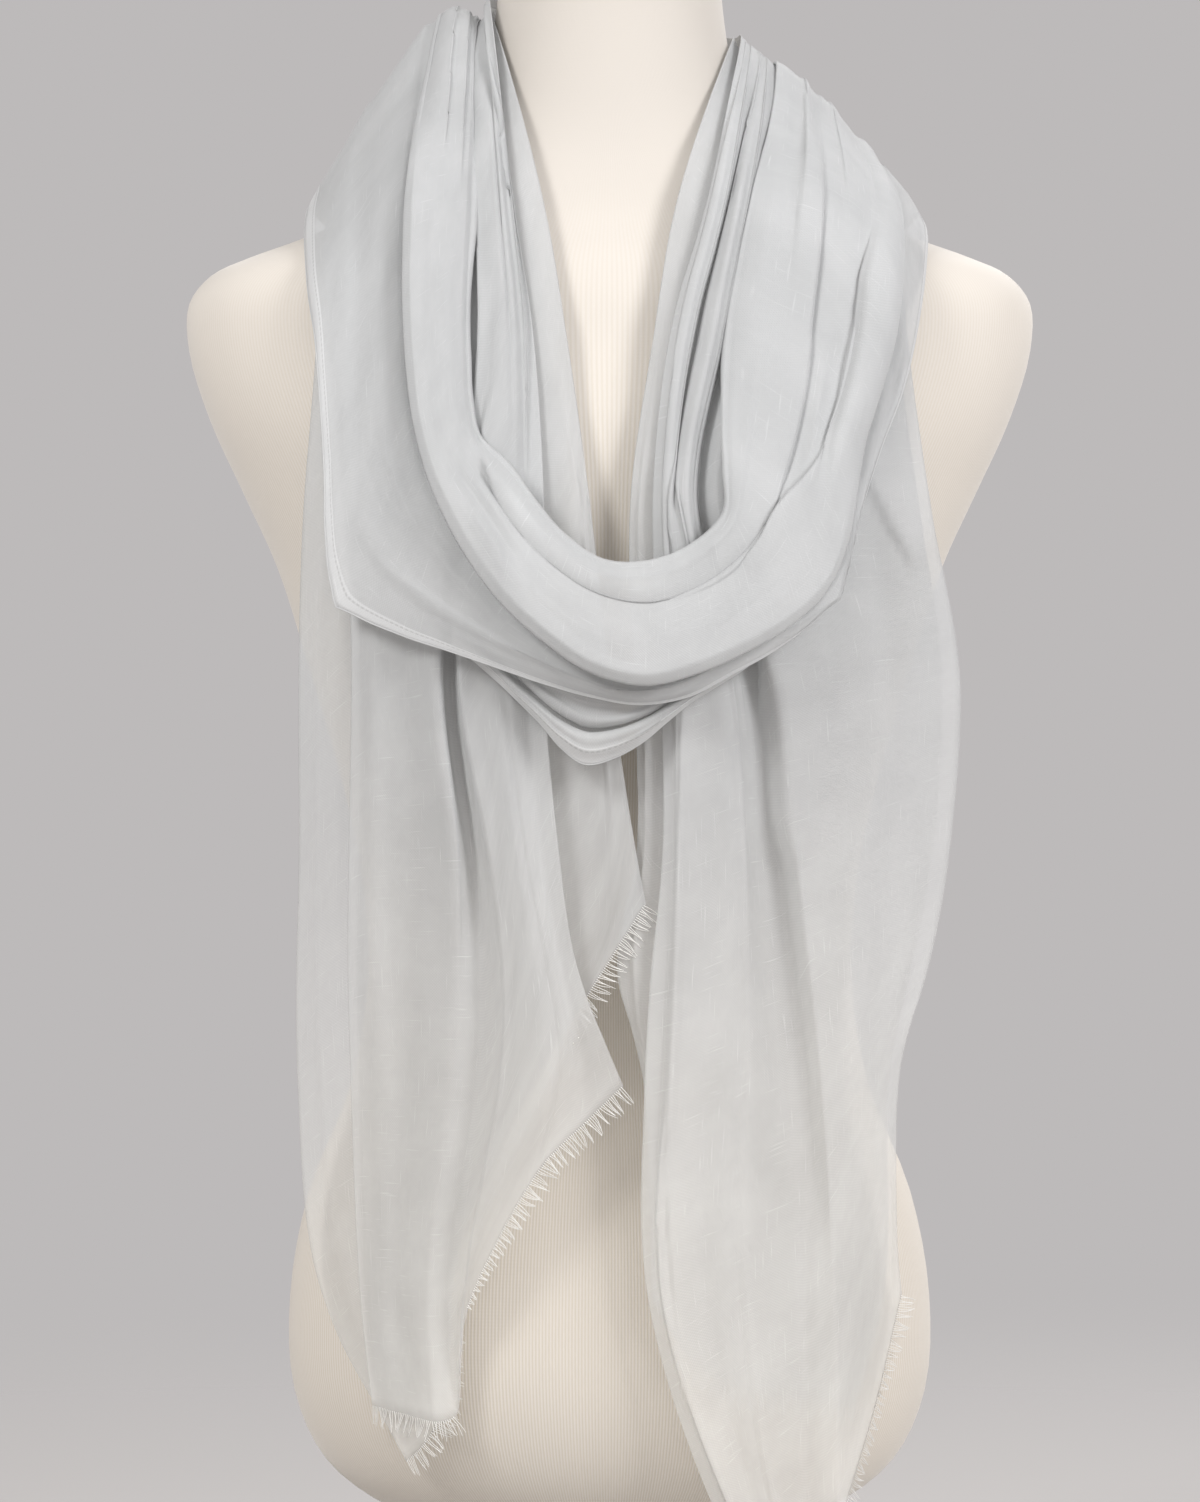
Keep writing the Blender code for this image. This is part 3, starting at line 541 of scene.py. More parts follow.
def rest_on(grid, gap):
    """Lifts the points of a fine grid clear of everything laid before it."""
    below = all_below()
    for rounds in (3, 0):
        way = outward_of(grid)
        need = np.zeros(grid.shape[:2])
        for j, (row, ways) in enumerate(zip(grid + way * PROBE, -way)):
            for i, (point, down) in enumerate(zip(row.tolist(), ways.tolist())):
                hit, normal, _, distance = below.ray_cast(point, down, 2 * PROBE)
                if hit is not None:
                    facing = max(0.5, abs(normal.dot(Vector(down))))
                    need[j, i] = max(0.0, gap / facing + PROBE - distance)
        move = np.max(neighbours(need), axis=0) if rounds else need
        for _ in range(rounds):
            move = np.maximum(need, sum(neighbours(move)) / 9)
        grid = grid + way * move[..., None]
    return grid


def normals_of(grid):
    """The grid's normals, turned outward."""
    facing = np.cross(np.gradient(grid, axis=0), np.gradient(grid, axis=1))
    facing /= np.maximum(np.linalg.norm(facing, axis=2, keepdims=True), 1e-9)
    sign = np.sign((facing * outward_of(grid)).sum(axis=2, keepdims=True))
    return facing * np.where(sign == 0, 1, sign)


# A crease is soft where its two sides are alike. Where one side is steep, the cloth
# laps over itself there, as a pressed pleat does.
Crease = namedtuple("Crease", "start end fold_at_start fold_at_end bow outer inner depth")
STEEP = 2.2                 # mm, a side narrower than this laps over
LAP = 0.8                   # how far it laps, for each mm of depth
LINE_TAPER = 0.14           # the share of a line at each end over which it fades
FRONT_EDGE = 12             # mm behind the shoulder's top line over which lines fade
SWELL_EASE = 3              # stations over which a swell begins and ends


def creased(grid, stations, folds, creases):
    """Adds ridges (depth above 0) and troughs, tapered at both ends.

    start and end are stations, the folds are where the crease lies across, bow is
    how far it bends sideways in folds, and outer and inner are its sides' widths.
    """
    along = np.linspace(0, stations, grid.shape[0])
    steps = np.linalg.norm(np.diff(grid, axis=1), axis=2)
    run = np.concatenate([np.zeros((grid.shape[0], 1)), np.cumsum(steps, axis=1)], axis=1)
    lift = np.zeros(grid.shape[:2])
    slide = np.zeros(grid.shape[:2])
    for crease in creases:
        rows = np.nonzero((along > crease.start) & (along < crease.end))[0]
        share = (along[rows] - crease.start) / (crease.end - crease.start)
        centre = crease.fold_at_start + (crease.fold_at_end - crease.fold_at_start) * share
        centre = np.clip((centre + crease.bow * np.sin(pi * share)) / folds, 0, 0.9999) * (grid.shape[1] - 1)
        low = centre.astype(int)
        part = centre - low
        middle = run[rows, low] * (1 - part) + run[rows, low + 1] * part
        off = run[rows] - middle[:, None]
        taper = (np.sin(pi * share) ** 0.7)[:, None]
        shape = crease.depth * taper * np.exp(-(off / np.where(off < 0, crease.outer, crease.inner)) ** 2)
        lift[rows] += shape
        if min(crease.outer, crease.inner) < STEEP:
            toward = 1 if crease.inner < crease.outer else -1
            slide[rows] += np.where(off * toward <= 0, toward * LAP * shape, 0)
    sideways = np.gradient(grid, axis=1)
    sideways /= np.maximum(np.linalg.norm(sideways, axis=2, keepdims=True), 1e-9)
    return grid + normals_of(grid) * lift[..., None] + sideways * slide[..., None]


# A crease on the front may also follow a line read off it, as x and z. left and right
# are its sides' widths as one goes along it, and first and last the folds it may reach.
Line = namedtuple("Line", "places first last left right depth")


def lined(grid, folds, lines):
    """Adds ridges (depth above 0) and troughs along lines seen from the front."""
    fold = np.linspace(0, folds, grid.shape[1])[None, :]
    front = np.clip((RIDGE_Y + FRONT_EDGE - grid[..., 1]) / FRONT_EDGE, 0, 1)
    seen = grid[..., [0, 2]]
    lift = np.zeros(grid.shape[:2])
    slide = np.zeros(seen.shape)
    for line in lines:
        path = np.array([(place.x, place.y) for place in spline(line.places, 5)])
        steps = np.diff(path, axis=0)
        longs = np.linalg.norm(steps, axis=1)
        begins = np.concatenate([[0], np.cumsum(longs)])
        nearest = np.full(grid.shape[:2], 1e9)
        share = np.zeros(grid.shape[:2])
        side = np.zeros(grid.shape[:2])
        way = np.zeros(seen.shape)
        for start, step, long, begin in zip(path, steps, longs, begins):
            rel = seen - start
            part = np.clip(rel @ step / long ** 2, 0, 1)
            away = np.linalg.norm(rel - part[..., None] * step, axis=2)
            closer = away < nearest
            nearest[closer] = away[closer]
            share[closer] = (begin + part[closer] * long) / begins[-1]
            side[closer] = np.sign(step[0] * rel[..., 1] - step[1] * rel[..., 0])[closer]
            way[closer] = np.array([-step[1], step[0]]) / long
        ends = np.clip(np.minimum(share, 1 - share) / LINE_TAPER, 0, 1)
        width = np.where(side > 0, line.left, line.right)
        shape = line.depth * ends ** 0.8 * front * np.exp(-(nearest / width) ** 2)
        shape *= (fold >= line.first) & (fold <= line.last)
        lift += shape
        if min(line.left, line.right) < STEEP:
            toward = 1 if line.left < line.right else -1
            slide += way * (toward * LAP * shape)[..., None]
    grid = grid + normals_of(grid) * lift[..., None]
    grid[..., 0] += slide[..., 0]
    grid[..., 2] += slide[..., 1]
    return grid


# Between two folds the cloth may hang smooth: there the folds between are drawn out
# into one gentle swell.
Swell = namedtuple("Swell", "start end first last rise")


def drawn_out(grid, stations, folds, swells):
    """Replaces the folds within each swell with a smooth rise between its two sides."""
    along = np.linspace(0, stations, grid.shape[0])
    for swell in swells:
        low, high = [round(fold / folds * (grid.shape[1] - 1)) for fold in (swell.first, swell.last)]
        share = np.linspace(0, 1, high - low + 1)[None, :, None]
        part = grid[:, low:high + 1]
        flat = part[:, :1] * (1 - share) + part[:, -1:] * share
        flat = flat + outward_of(flat) * swell.rise * 4 * share * (1 - share)
        hold = np.clip(np.minimum(along - swell.start, swell.end - along) / SWELL_EASE, 0, 1)
        hold = (hold * hold * (3 - 2 * hold))[:, None, None]
        grid[:, low:high + 1] = part + (flat - part) * hold
    return grid


def wrapped(spans, stations):
    """The creases or swells of a closed ring, running on past its first station."""
    return [span._replace(start=span.start + turn, end=span.end + turn)
            for span in spans for turn in (-stations, 0, stations)]


def crinkles(seed, count, stations, folds, depth):
    """Many short fine creases, uneven in length, slant and depth."""
    dice = Random(seed)
    found = []
    for _ in range(count):
        start = dice.uniform(-1, stations)
        fold = dice.uniform(0, folds)
        width = dice.uniform(2.4, 4.4)
        found.append(Crease(start, start + dice.uniform(1.0, 5.0), fold, fold + dice.uniform(-0.8, 0.8),
                            dice.uniform(-0.2, 0.2), width, width,
                            depth * dice.uniform(0.3, 1.0) * dice.choice((-1, 1))))
    return found


# Gauze: matt yarn with a faint sheen. The real weave has about 24 threads to the
# centimetre, too fine to show, so it is drawn three times as coarse. Slubs are the
# thick places in the yarn, a few centimetres long, lighter than the rest.
THREAD = 1.25               # mm, three times the real spacing
SLUB_LONG = 20.0            # mm
SLUB_APART = 0.9            # mm
CRUMPLES = (150, 85, 1)     # to the metre, across and along the cloth
HEM_WIDTH = 5.5             # mm, the turned hem on the long edges
SEAM_IN = 0.9               # mm, from the band's edge to its stitches
STITCH_LONG = 2.6           # mm
SHEER = 0.62                # how much each face of the thin cloth lets through
SHEER_VARIES = 0.04


gauze, gauze_tree, gauze_shader = new_material("dove_grey_gauze")
cloth_map = add_node(gauze_tree, "ShaderNodeUVMap", {"uv_map": "cloth"}, {})
slubs = []
for scale in ((1000 / SLUB_APART, 1000 / SLUB_LONG, 1), (1000 / SLUB_LONG, 1000 / SLUB_APART, 1)):
    yarn = add_node(gauze_tree, "ShaderNodeMapping", {}, {"Vector": cloth_map, "Scale": scale})
    slubs.append(add_node(gauze_tree, "ShaderNodeTexNoise", {"noise_dimensions": "2D"}, {
        "Vector": yarn, "Scale": 1.0, "Detail": 1.5}))
yarns = add_node(gauze_tree, "ShaderNodeMath", {"operation": "MAXIMUM"}, {0: slubs[0], 1: slubs[1]})
slub = add_node(gauze_tree, "ShaderNodeMapRange", {}, {"Value": yarns, "From Min": 0.69, "From Max": 0.9})
cloth_parts = add_node(gauze_tree, "ShaderNodeSeparateXYZ", {}, {"Vector": cloth_map})
waves = []
for axis in ("X", "Y"):
    turn = add_node(gauze_tree, "ShaderNodeMath", {"operation": "MULTIPLY"}, {
        0: cloth_parts.outputs[axis], 1: 2 * pi * 1000 / THREAD})
    waves.append(add_node(gauze_tree, "ShaderNodeMath", {"operation": "SINE"}, {0: turn}))
weave = add_node(gauze_tree, "ShaderNodeMath", {"operation": "MULTIPLY"}, {0: waves[0], 1: waves[1]})
crumple_map = add_node(gauze_tree, "ShaderNodeMapping", {}, {"Vector": cloth_map, "Scale": CRUMPLES})
gauze_height = add_node(gauze_tree, "ShaderNodeTexNoise", {"noise_dimensions": "2D"}, {
    "Vector": crumple_map, "Scale": 1.0, "Detail": 4.0, "Roughness": 0.6, "Distortion": 0.6})
for source, strength in ((weave, 0.24), (slub, 0.05)):
    gauze_height = add_node(gauze_tree, "ShaderNodeMath", {"operation": "MULTIPLY_ADD"}, {
        0: source, 1: strength, 2: gauze_height})
gauze_bump = add_node(gauze_tree, "ShaderNodeBump", {}, {
    "Height": gauze_height, "Strength": 0.5, "Distance": 0.0004})
# the hem: two more layers of cloth make a paler band, with one line of stitches
hem_map = add_node(gauze_tree, "ShaderNodeUVMap", {"uv_map": "hem"}, {})
hem_parts = add_node(gauze_tree, "ShaderNodeSeparateXYZ", {}, {"Vector": hem_map})
band = add_node(gauze_tree, "ShaderNodeMapRange", {}, {
    "Value": hem_parts.outputs["X"], "From Min": HEM_WIDTH * MM, "From Max": (HEM_WIDTH + 0.5) * MM,
    "To Min": 1.0, "To Max": 0.0})
seam_off = add_node(gauze_tree, "ShaderNodeMath", {"operation": "SUBTRACT"}, {
    0: hem_parts.outputs["X"], 1: (HEM_WIDTH - SEAM_IN) * MM})
seam_near = add_node(gauze_tree, "ShaderNodeMath", {"operation": "ABSOLUTE"}, {0: seam_off})
seam_line = add_node(gauze_tree, "ShaderNodeMapRange", {}, {
    "Value": seam_near, "From Min": 0.15 * MM, "From Max": 0.45 * MM, "To Min": 1.0, "To Max": 0.0})
stitch_turn = add_node(gauze_tree, "ShaderNodeMath", {"operation": "MULTIPLY"}, {
    0: hem_parts.outputs["Y"], 1: 2 * pi * 1000 / STITCH_LONG})
stitch_wave = add_node(gauze_tree, "ShaderNodeMath", {"operation": "SINE"}, {0: stitch_turn})
stitch_on = add_node(gauze_tree, "ShaderNodeMapRange", {}, {
    "Value": stitch_wave, "From Min": -0.8, "From Max": 0.2, "To Min": 0.35, "To Max": 1.0})
stitches = add_node(gauze_tree, "ShaderNodeMath", {"operation": "MULTIPLY"}, {0: seam_line, 1: stitch_on})
# low down the cloth hangs singly and is more sheer than where it is gathered; low down it is also painted
# paler and warmer, painted light where the lamps fall more strongly, and where gathered it is painted a
# shade darker, painted shade
cloth_place = add_node(gauze_tree, "ShaderNodeNewGeometry", {}, {})
cloth_high = add_node(gauze_tree, "ShaderNodeSeparateXYZ", {}, {"Vector": cloth_place})
low_painted_light, gathered_and_painted_shade = [
    add_node(gauze_tree, "ShaderNodeMapRange", {"interpolation_type": "SMOOTHSTEP"}, {
        "Value": cloth_high.outputs["Z"],
        "From Min": low, "From Max": high, "To Min": at_low, "To Max": at_high})
    for low, high, at_low, at_high in ((0.05, 0.5, 0.75, 0.0), (0.3, 0.65, 0.0, 0.5))]
# colour: clouded a little by the uneven yarn, and then the share and shade of each thing on it: painted
# light low down, painted shade where gathered, then slubs, weave, hem band and stitches
cloud = add_node(gauze_tree, "ShaderNodeTexNoise", {"noise_dimensions": "2D"}, {
    "Vector": cloth_map, "Scale": 26.0, "Detail": 4.0})
gauze_tone = add_node(gauze_tree, "ShaderNodeMix", {"data_type": "RGBA"}, {
    "Factor": cloud, "A": linear("#dcdddc"), "B": linear("#e5e5e4")})
between = add_node(gauze_tree, "ShaderNodeMapRange", {}, {"Value": weave, "From Min": -1.0, "From Max": 1.0})
for source, strength, shade in (
        (low_painted_light, 1.0, "#fffdf7"), (gathered_and_painted_shade, 1.0, "#cfd1d2"), (slub, 0.18, "#f6f7f7"),
        (between, 0.24, "#b9babb"), (band, 0.14, "#f4f4f3"), (stitches, 0.5, "#a7a7a5")):
    share = add_node(gauze_tree, "ShaderNodeMath", {"operation": "MULTIPLY"}, {0: source, 1: strength})
    gauze_tone = add_node(gauze_tree, "ShaderNodeMix", {"data_type": "RGBA"}, {
        "Factor": share, "A": gauze_tone, "B": linear(shade)})
# the gaps between the threads let through what lies below; slubs, folds and hems close them
cover = add_node(gauze_tree, "ShaderNodeMapRange", {}, {
    "Value": cloud, "From Min": 0.3, "From Max": 0.7,
    "To Min": 1 - SHEER - SHEER_VARIES, "To Max": 1 - SHEER + SHEER_VARIES})
for source, strength in ((slub, 0.1), (gathered_and_painted_shade, 0.4), (band, 0.25)):
    cover = add_node(gauze_tree, "ShaderNodeMath", {"operation": "MULTIPLY_ADD"}, {
        0: source, 1: strength, 2: cover})
cover.use_clamp = True
feed(gauze_tree, gauze_shader, {
    "Base Color": gauze_tone, "Normal": gauze_bump, "Alpha": cover, "Roughness": 0.82,
    "Sheen Weight": 0.18, "Sheen Roughness": 0.45, "Specular IOR Level": 0.25})


def cloth_piece(name, grid, hem=None, closed=False):
    """A thin cloth from its fine grid. hem is the side with a stitched edge that shows."""
    columns = np.linalg.norm(np.diff(grid, axis=1), axis=2).mean(axis=0)
    rows = np.linalg.norm(np.diff(grid, axis=0), axis=2).mean(axis=1)
    from_outer = np.concatenate([[0], np.cumsum(columns)]) * MM
    down = np.concatenate([[0], np.cumsum(rows)]) * MM
    if closed:
        down = np.minimum(down, down[-1] - down)
    from_hem = {None: 1.0 + 0 * from_outer, "outer": from_outer, "inner": from_outer[-1] - from_outer}[hem]
    maps = {label: np.stack(np.meshgrid(off, down), axis=2)
            for label, off in (("cloth", from_outer), ("hem", from_hem))}
    made = grid_object(name, grid, maps, gauze)
    if closed:
        made.modifiers.new("joined_ring", "WELD").merge_threshold = 0.01 * MM
    wall = made.modifiers.new("thin_wall", "SOLIDIFY")
    wall.thickness = SHELL * MM
    wall.offset = 0
    keep_below(grid)
    return made


# Fringe: at the short ends the weft is pulled out over about a centimetre, and the
# warp ends stay as an eyelash of loose threads that cling together in twos and threes.
THREAD_LONG = 10.0
THREAD_SHORT = 0.72         # the shortest thread, as a share of the longest
THREAD_THICK = 0.2
THREAD_THINS = [1.0, 0.9, 0.8, 0.75, 0.7, 0.5]
THREAD_APART = 1.05
THREAD_LEAN = 0.22          # of each clump, and how far it draws together
THREAD_CLING = 0.8
THREAD_CURL = 0.1
THREAD_GAP = 0.45
fray, fray_tree, fray_shader = new_material("frayed_cotton_thread")
fray_place = add_node(fray_tree, "ShaderNodeNewGeometry", {}, {})
fray_noise = add_node(fray_tree, "ShaderNodeTexNoise", {}, {
    "Vector": fray_place, "Scale": 420.0, "Detail": 2.0})
fray_tone = add_node(fray_tree, "ShaderNodeMix", {"data_type": "RGBA"}, {
    "Factor": fray_noise, "A": linear("#e9e8e3"), "B": linear("#faf9f5")})
feed(fray_tree, fray_shader, {"Base Color": fray_tone, "Roughness": 0.85, "Sheen Weight": 0.4})


def tube(line, radii, sides):
    """Points and faces of a thin tube along a line."""
    line = np.array(line)
    tangents = np.gradient(line, axis=0)
    tangents /= np.linalg.norm(tangents, axis=1, keepdims=True) + 1e-9
    guide = np.where(np.abs(tangents[:, 1:2]) < 0.9, np.array([[0, 1, 0]]), np.array([[1, 0, 0]]))
    first = np.cross(tangents, guide)
    first /= np.linalg.norm(first, axis=1, keepdims=True)
    second = np.cross(tangents, first)
    turns = np.linspace(0, 2 * pi, sides, endpoint=False)
    rings = [line + (first * cos(t) + second * sin(t)) * np.array(radii)[:, None] for t in turns]
    faces = [(k * sides + s, k * sides + (s + 1) % sides,
              (k + 1) * sides + (s + 1) % sides, (k + 1) * sides + s)
             for k in range(len(line) - 1) for s in range(sides)]
    return np.stack(rings, axis=1).reshape(-1, 3), np.array(faces)


def thin_tubes(name, lines, radii, sides, surface):
    """Many thin tubes as one piece."""
    tubes = [tube(line, radii, sides) for line in lines]
    starts = np.cumsum([0] + [len(points) for points, _ in tubes])
    points = np.concatenate([points for points, _ in tubes])
    faces = np.concatenate([faces + start for (_, faces), start in zip(tubes, starts)])
    made = mesh_object(name, points, faces, surface, {})
    return made


def fringe_piece(name, node, edge, above, seed, first=1.0):
    """The loose threads of one cut end, from the last two stations of its grid.

    first is the length of the first threads, as a share. They grow to full length.
    """
    dice = Random(seed)
    edge_line = [Vector(point) for point in edge.tolist()]
    above_line = [Vector(point) for point in above.tolist()]
    count = int(sum((b - a).length for a, b in zip(edge_line, edge_line[1:])) / THREAD_APART)
    roots = evenly(edge_line, count)
    heads = evenly(above_line, count)
    lines = []
    lean = 0.0
    for k in range(1, count):
        along = (roots[k + 1] - roots[k - 1]).normalized()
        fall = roots[k] - heads[k]
        fall = (fall - along * fall.dot(along)).normalized()
        out = outward(roots[k])
        if k % 3 == 0:
            lean = dice.uniform(-THREAD_LEAN, THREAD_LEAN)
        gather = (1 - k % 3) * THREAD_APART * THREAD_CLING
        long = THREAD_LONG * dice.uniform(THREAD_SHORT, 1.0) * min(1.0, first + 1.5 * k / count)
        curl = dice.uniform(-THREAD_CURL, THREAD_CURL)
        rise = dice.uniform(0.0, THREAD_CURL)
        line = []
        for step in range(len(THREAD_THINS)):
            share = step / (len(THREAD_THINS) - 1)
            side = gather * share + long * (lean * share ** 1.6 + curl * sin(pi * share) * 0.6)
            line.append(roots[k] - fall * 0.6 + fall * long * share + along * side
                        + out * (rise * long * share))
        lines.append([tuple(point) for point in line])
    rested = rest_on(np.array(lines), THREAD_GAP)
    keep_below(rested)
    radii = [THREAD_THICK * thin for thin in THREAD_THINS]
    made = thin_tubes(name, rested.tolist(), radii, 4, fray)
    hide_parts(node)
    return made


# Hems: the long edges are rolled over and stitched down, which leaves a fine
# round bead. It shows along the loop's outer edge and the fold under it.
HEM_BEAD = 0.38
bead, bead_tree, bead_shader = new_material("rolled_gauze_hem")
bead_place = add_node(bead_tree, "ShaderNodeNewGeometry", {}, {})
bead_noise = add_node(bead_tree, "ShaderNodeTexNoise", {}, {
    "Vector": bead_place, "Scale": 300.0, "Detail": 3.0})
bead_tone = add_node(bead_tree, "ShaderNodeMix", {"data_type": "RGBA"}, {
    "Factor": bead_noise, "A": linear("#bcbdbd"), "B": linear("#cdcecd")})
bead_bump = add_node(bead_tree, "ShaderNodeBump", {}, {
    "Height": bead_noise, "Strength": 0.4, "Distance": 0.0003})
feed(bead_tree, bead_shader, {"Base Color": bead_tone, "Normal": bead_bump, "Roughness": 0.85})


def hem_piece(name, line):
    """The rolled bead along a stitched edge."""
    return thin_tubes(name, [line.tolist()], [HEM_BEAD] * len(line), 6, bead)


# The two back halves of the doubled ends hang next to the form, one at each side.
# ridge is the fold's place on the shoulder's top line, across its x at each of the
# heights, end its cut end, and relief how far it stands out.
HEIGHTS = [700, 640, 560, 480, 400, 350, 300, 200, 100]
Tail = namedtuple("Tail", "name relief ridge across end")
TAIL_STEPS = {"left": 26, "right": 32}
TAIL_CLEAR = {"back": (2, 3, 2), "front": (6, 12, 8)}   # at the chest, the waist and the end
RIGHT_TAIL_BACK = [
    Tail("outer edge", 0, (126, 708), [127, 128, 139, 152, 150, 141, 130, 128], (114, 144)),
    Tail("middle fall", 2, (104, 737), [102, 98, 95, 98, 102, 100, 98, 92], (90, 149)),
    Tail("middle valley", -1, (78, 760), [72, 58, 47, 52, 58, 60, 61, 62], (62, 154)),
    Tail("inner fall", 3, (60, 781), [39, 28, 17, 20, 20, 17, 23, 33], (37, 169)),
    Tail("inner hem", 1, (57, 788), [30, 20, 9, 11, 12, 3, 15, 19], (19, 197)),
]
LEFT_TAIL_BACK = [
    Tail("outer edge", 0, (-123, 707), [-125, -130, -138, -142, -144, -146, -146, -136], (-94, 119)),
    Tail("outer fall", 2, (-108, 732), [-112, -117, -121, -126, -129, -130, -128, -117], (-86, 127)),
    Tail("middle valley", 0, (-88, 759), [-87, -91, -95, -98, -100, -99, -96, -86], (-76, 147)),
    Tail("middle fall", 2, (-71, 775), [-66, -69, -71, -73, -74, -74, -73], (-71, 212)),
    Tail("inner valley", 0, (-61, 785), [-52, -45, -38, -31, -29, -34, -41], (-45, 277)),
    Tail("inner fall", 2, (-57, 793), [-43, -29, -17, -9, -5, -7], (-18, 323)),
    Tail("inner hem", 1, (-55, 800), [-30, -20, -9, 0, 12], (16, 378)),
]
RIGHT_BACK_CREASES = [
    Crease(3, 22, 0.6, 0.9, 0.2, 4.0, 5.0, -1.6),
    Crease(8, 27, 3.4, 3.6, -0.1, 8.0, 1.6, 1.8),
    Crease(12, 25, 2.3, 2.0, 0.1, 4.0, 5.0, 1.4),
]
LEFT_BACK_CREASES = [
    Crease(6, 25, 0.5, 0.7, 0.1, 3.5, 5.0, 1.8),
    Crease(10, 27, 1.3, 1.5, -0.1, 4.0, 6.0, -2.0),
    Crease(16, 27, 2.5, 2.8, 0.1, 7.0, 1.6, 1.8),
    Crease(12, 24, 5.2, 5.4, 0.1, 3.0, 4.0, 1.2),
]
BACK_SEED = {"right": 5, "left": 4}
# the right one's threads are left off at its inner hem, where the front half hides them
BACK_FRAYED = {"right": slice(0, -7), "left": slice(None)}


def tail_line(row, sheet, steps):
    """One fold of a tail, from the shoulder's top line down to its end."""
    chest, waist, end = TAIL_CLEAR[sheet]
    places = [row.ridge] + list(zip(row.across, HEIGHTS)) + [row.end]
    line = []
    for x, z, _ in spline(places, SAMPLES):
        low = ease((HEIGHTS[1] - z) / (HEIGHTS[1] - HEIGHTS[4]))
        clear = chest + (waist - chest) * low
        if z < HEIGHTS[4]:
            clear = waist + (end - waist) * ease((HEIGHTS[4] - z) / (HEIGHTS[4] - row.end[1] + 1))
        line.append(front_point(x, z, clear + row.relief, row.ridge[1]))
    return evenly(line, steps)


def fine_grid(coarse, along, over, closed=False):
    """The laid stretch on a fine grid: along the cloth, then across it."""
    grid = np.array([[tuple(point) for point in station] for station in coarse])
    grid = finer(grid, along, closed)
    return finer(grid.swapaxes(0, 1), over).swapaxes(0, 1)


for side, rows, creases in (("right", RIGHT_TAIL_BACK, RIGHT_BACK_CREASES),
                            ("left", LEFT_TAIL_BACK, LEFT_BACK_CREASES)):
    steps = TAIL_STEPS["left"]
    back = lay_over(across([tail_line(row, "back", steps) for row in rows]), coarse_layers)
    skirt = skirt_of(back[-1], back[-2])
    coarse_layers += [(tree_of(back), OVER_CLOTH), (skirt, OVER_CLOTH + 1.0)]
    grid = fine_grid(back, 5, 5)
    folds = len(rows) - 1
    grid = creased(grid, steps, folds, creases + crinkles(BACK_SEED[side], 40, steps, folds, 0.3))
    grid = rest_on(grid, SHEET_GAP)
    piece = cloth_piece("gauze_" + side + "_back", grid)
    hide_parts(side + "_tail_back")
    frayed = grid[:, BACK_FRAYED[side]]
    threads = fringe_piece(
        "threads_" + side + "_back", "fringe_" + side + "_back", frayed[-1], frayed[-4], 7)


# The front halves of the doubled ends are one length of cloth with the stretch
# round the nape: up the left side, behind the neck and down the right side.
NAPE_STEPS = 14
NAPE_SAMPLES = 60
NAPE_FALL = 2.4             # more keeps a fold longer at the shoulder's height
# behind the neck: the lowest and the highest fold, how far off they lie, and crests more
NAPE_INNER = {"low": 716, "high": 812, "off": 4, "crest": 3}
LEFT_TAIL_FRONT = [
    Tail("outer fold", -2, (-99, 757), [-104, -110, -116, -117, -120, -121, -120, -116], (-110, 144)),
    Tail("outer crown", 4, (-88, 772), [-96, -100, -105, -106, -109, -110, -109, -105], (-100, 143)),
    Tail("middle fall", 1, (-77, 782), [-82, -84, -89, -91, -91, -92, -92, -96], (-90, 141)),
    Tail("split outer lip", 3, (-66, 788), [-66, -66, -72, -78, -70, -69, -72, -83], (-80, 139)),
    Tail("split", -4, (-62, 790), [-60, -59, -66, -72, -63, -60, -61, -73], (-70, 142)),
    Tail("split inner lip", 3, (-60, 793), [-54, -52, -60, -66, -54, -47, -48, -64], (-66, 186)),
    Tail("inner crown", 5, (-58, 798), [-48, -43, -44, -46, -38, -29, -23], (-32, 256)),
    Tail("inner valley", 0, (-57, 803), [-46, -39, -37, -38, -31, -22, -12], (-12, 277)),
    Tail("inner hem", 1, (-56, 809), [-44, -35, -30, -30, -23, -15], (6, 295)),
]
RIGHT_TAIL_FRONT = [
    Tail("outer edge", 0, (125, 710), [126, 131, 144, 161, 158, 149, 135, 135], (136, 195)),
    Tail("outer valley", -2, (112, 728), [110, 116, 122, 127, 124, 122, 119, 126], (124, 147)),
    Tail("wide fall", 3, (92, 749), [89, 87, 82, 99, 108, 109, 111, 118], (113, 114)),
    Tail("second panel", 6, (80, 763), [70, 61, 48, 77, 86, 92, 97, 103], (105, 93)),
    Tail("deep valley", -6, (74, 770), [63, 52, 39, 66, 74, 79, 84, 87, 89], (96, 71)),
    Tail("lit panel", 6, (70, 775), [57, 46, 34, 56, 63, 63, 63, 62, 75], (91, 61)),
    Tail("second fold", -3, (67, 779), [53, 38, 28, 42, 50, 49, 48, 44, 64], (87, 53)),
    Tail("inner crown", 5, (63, 783), [48, 34, 26, 32, 33, 32, 30, 26, 57], (84, 46)),
    Tail("inner hem", 0, (60, 788), [43, 27, 19, 23, 24, 19, 16, 17, 48], (81, 41)),
]
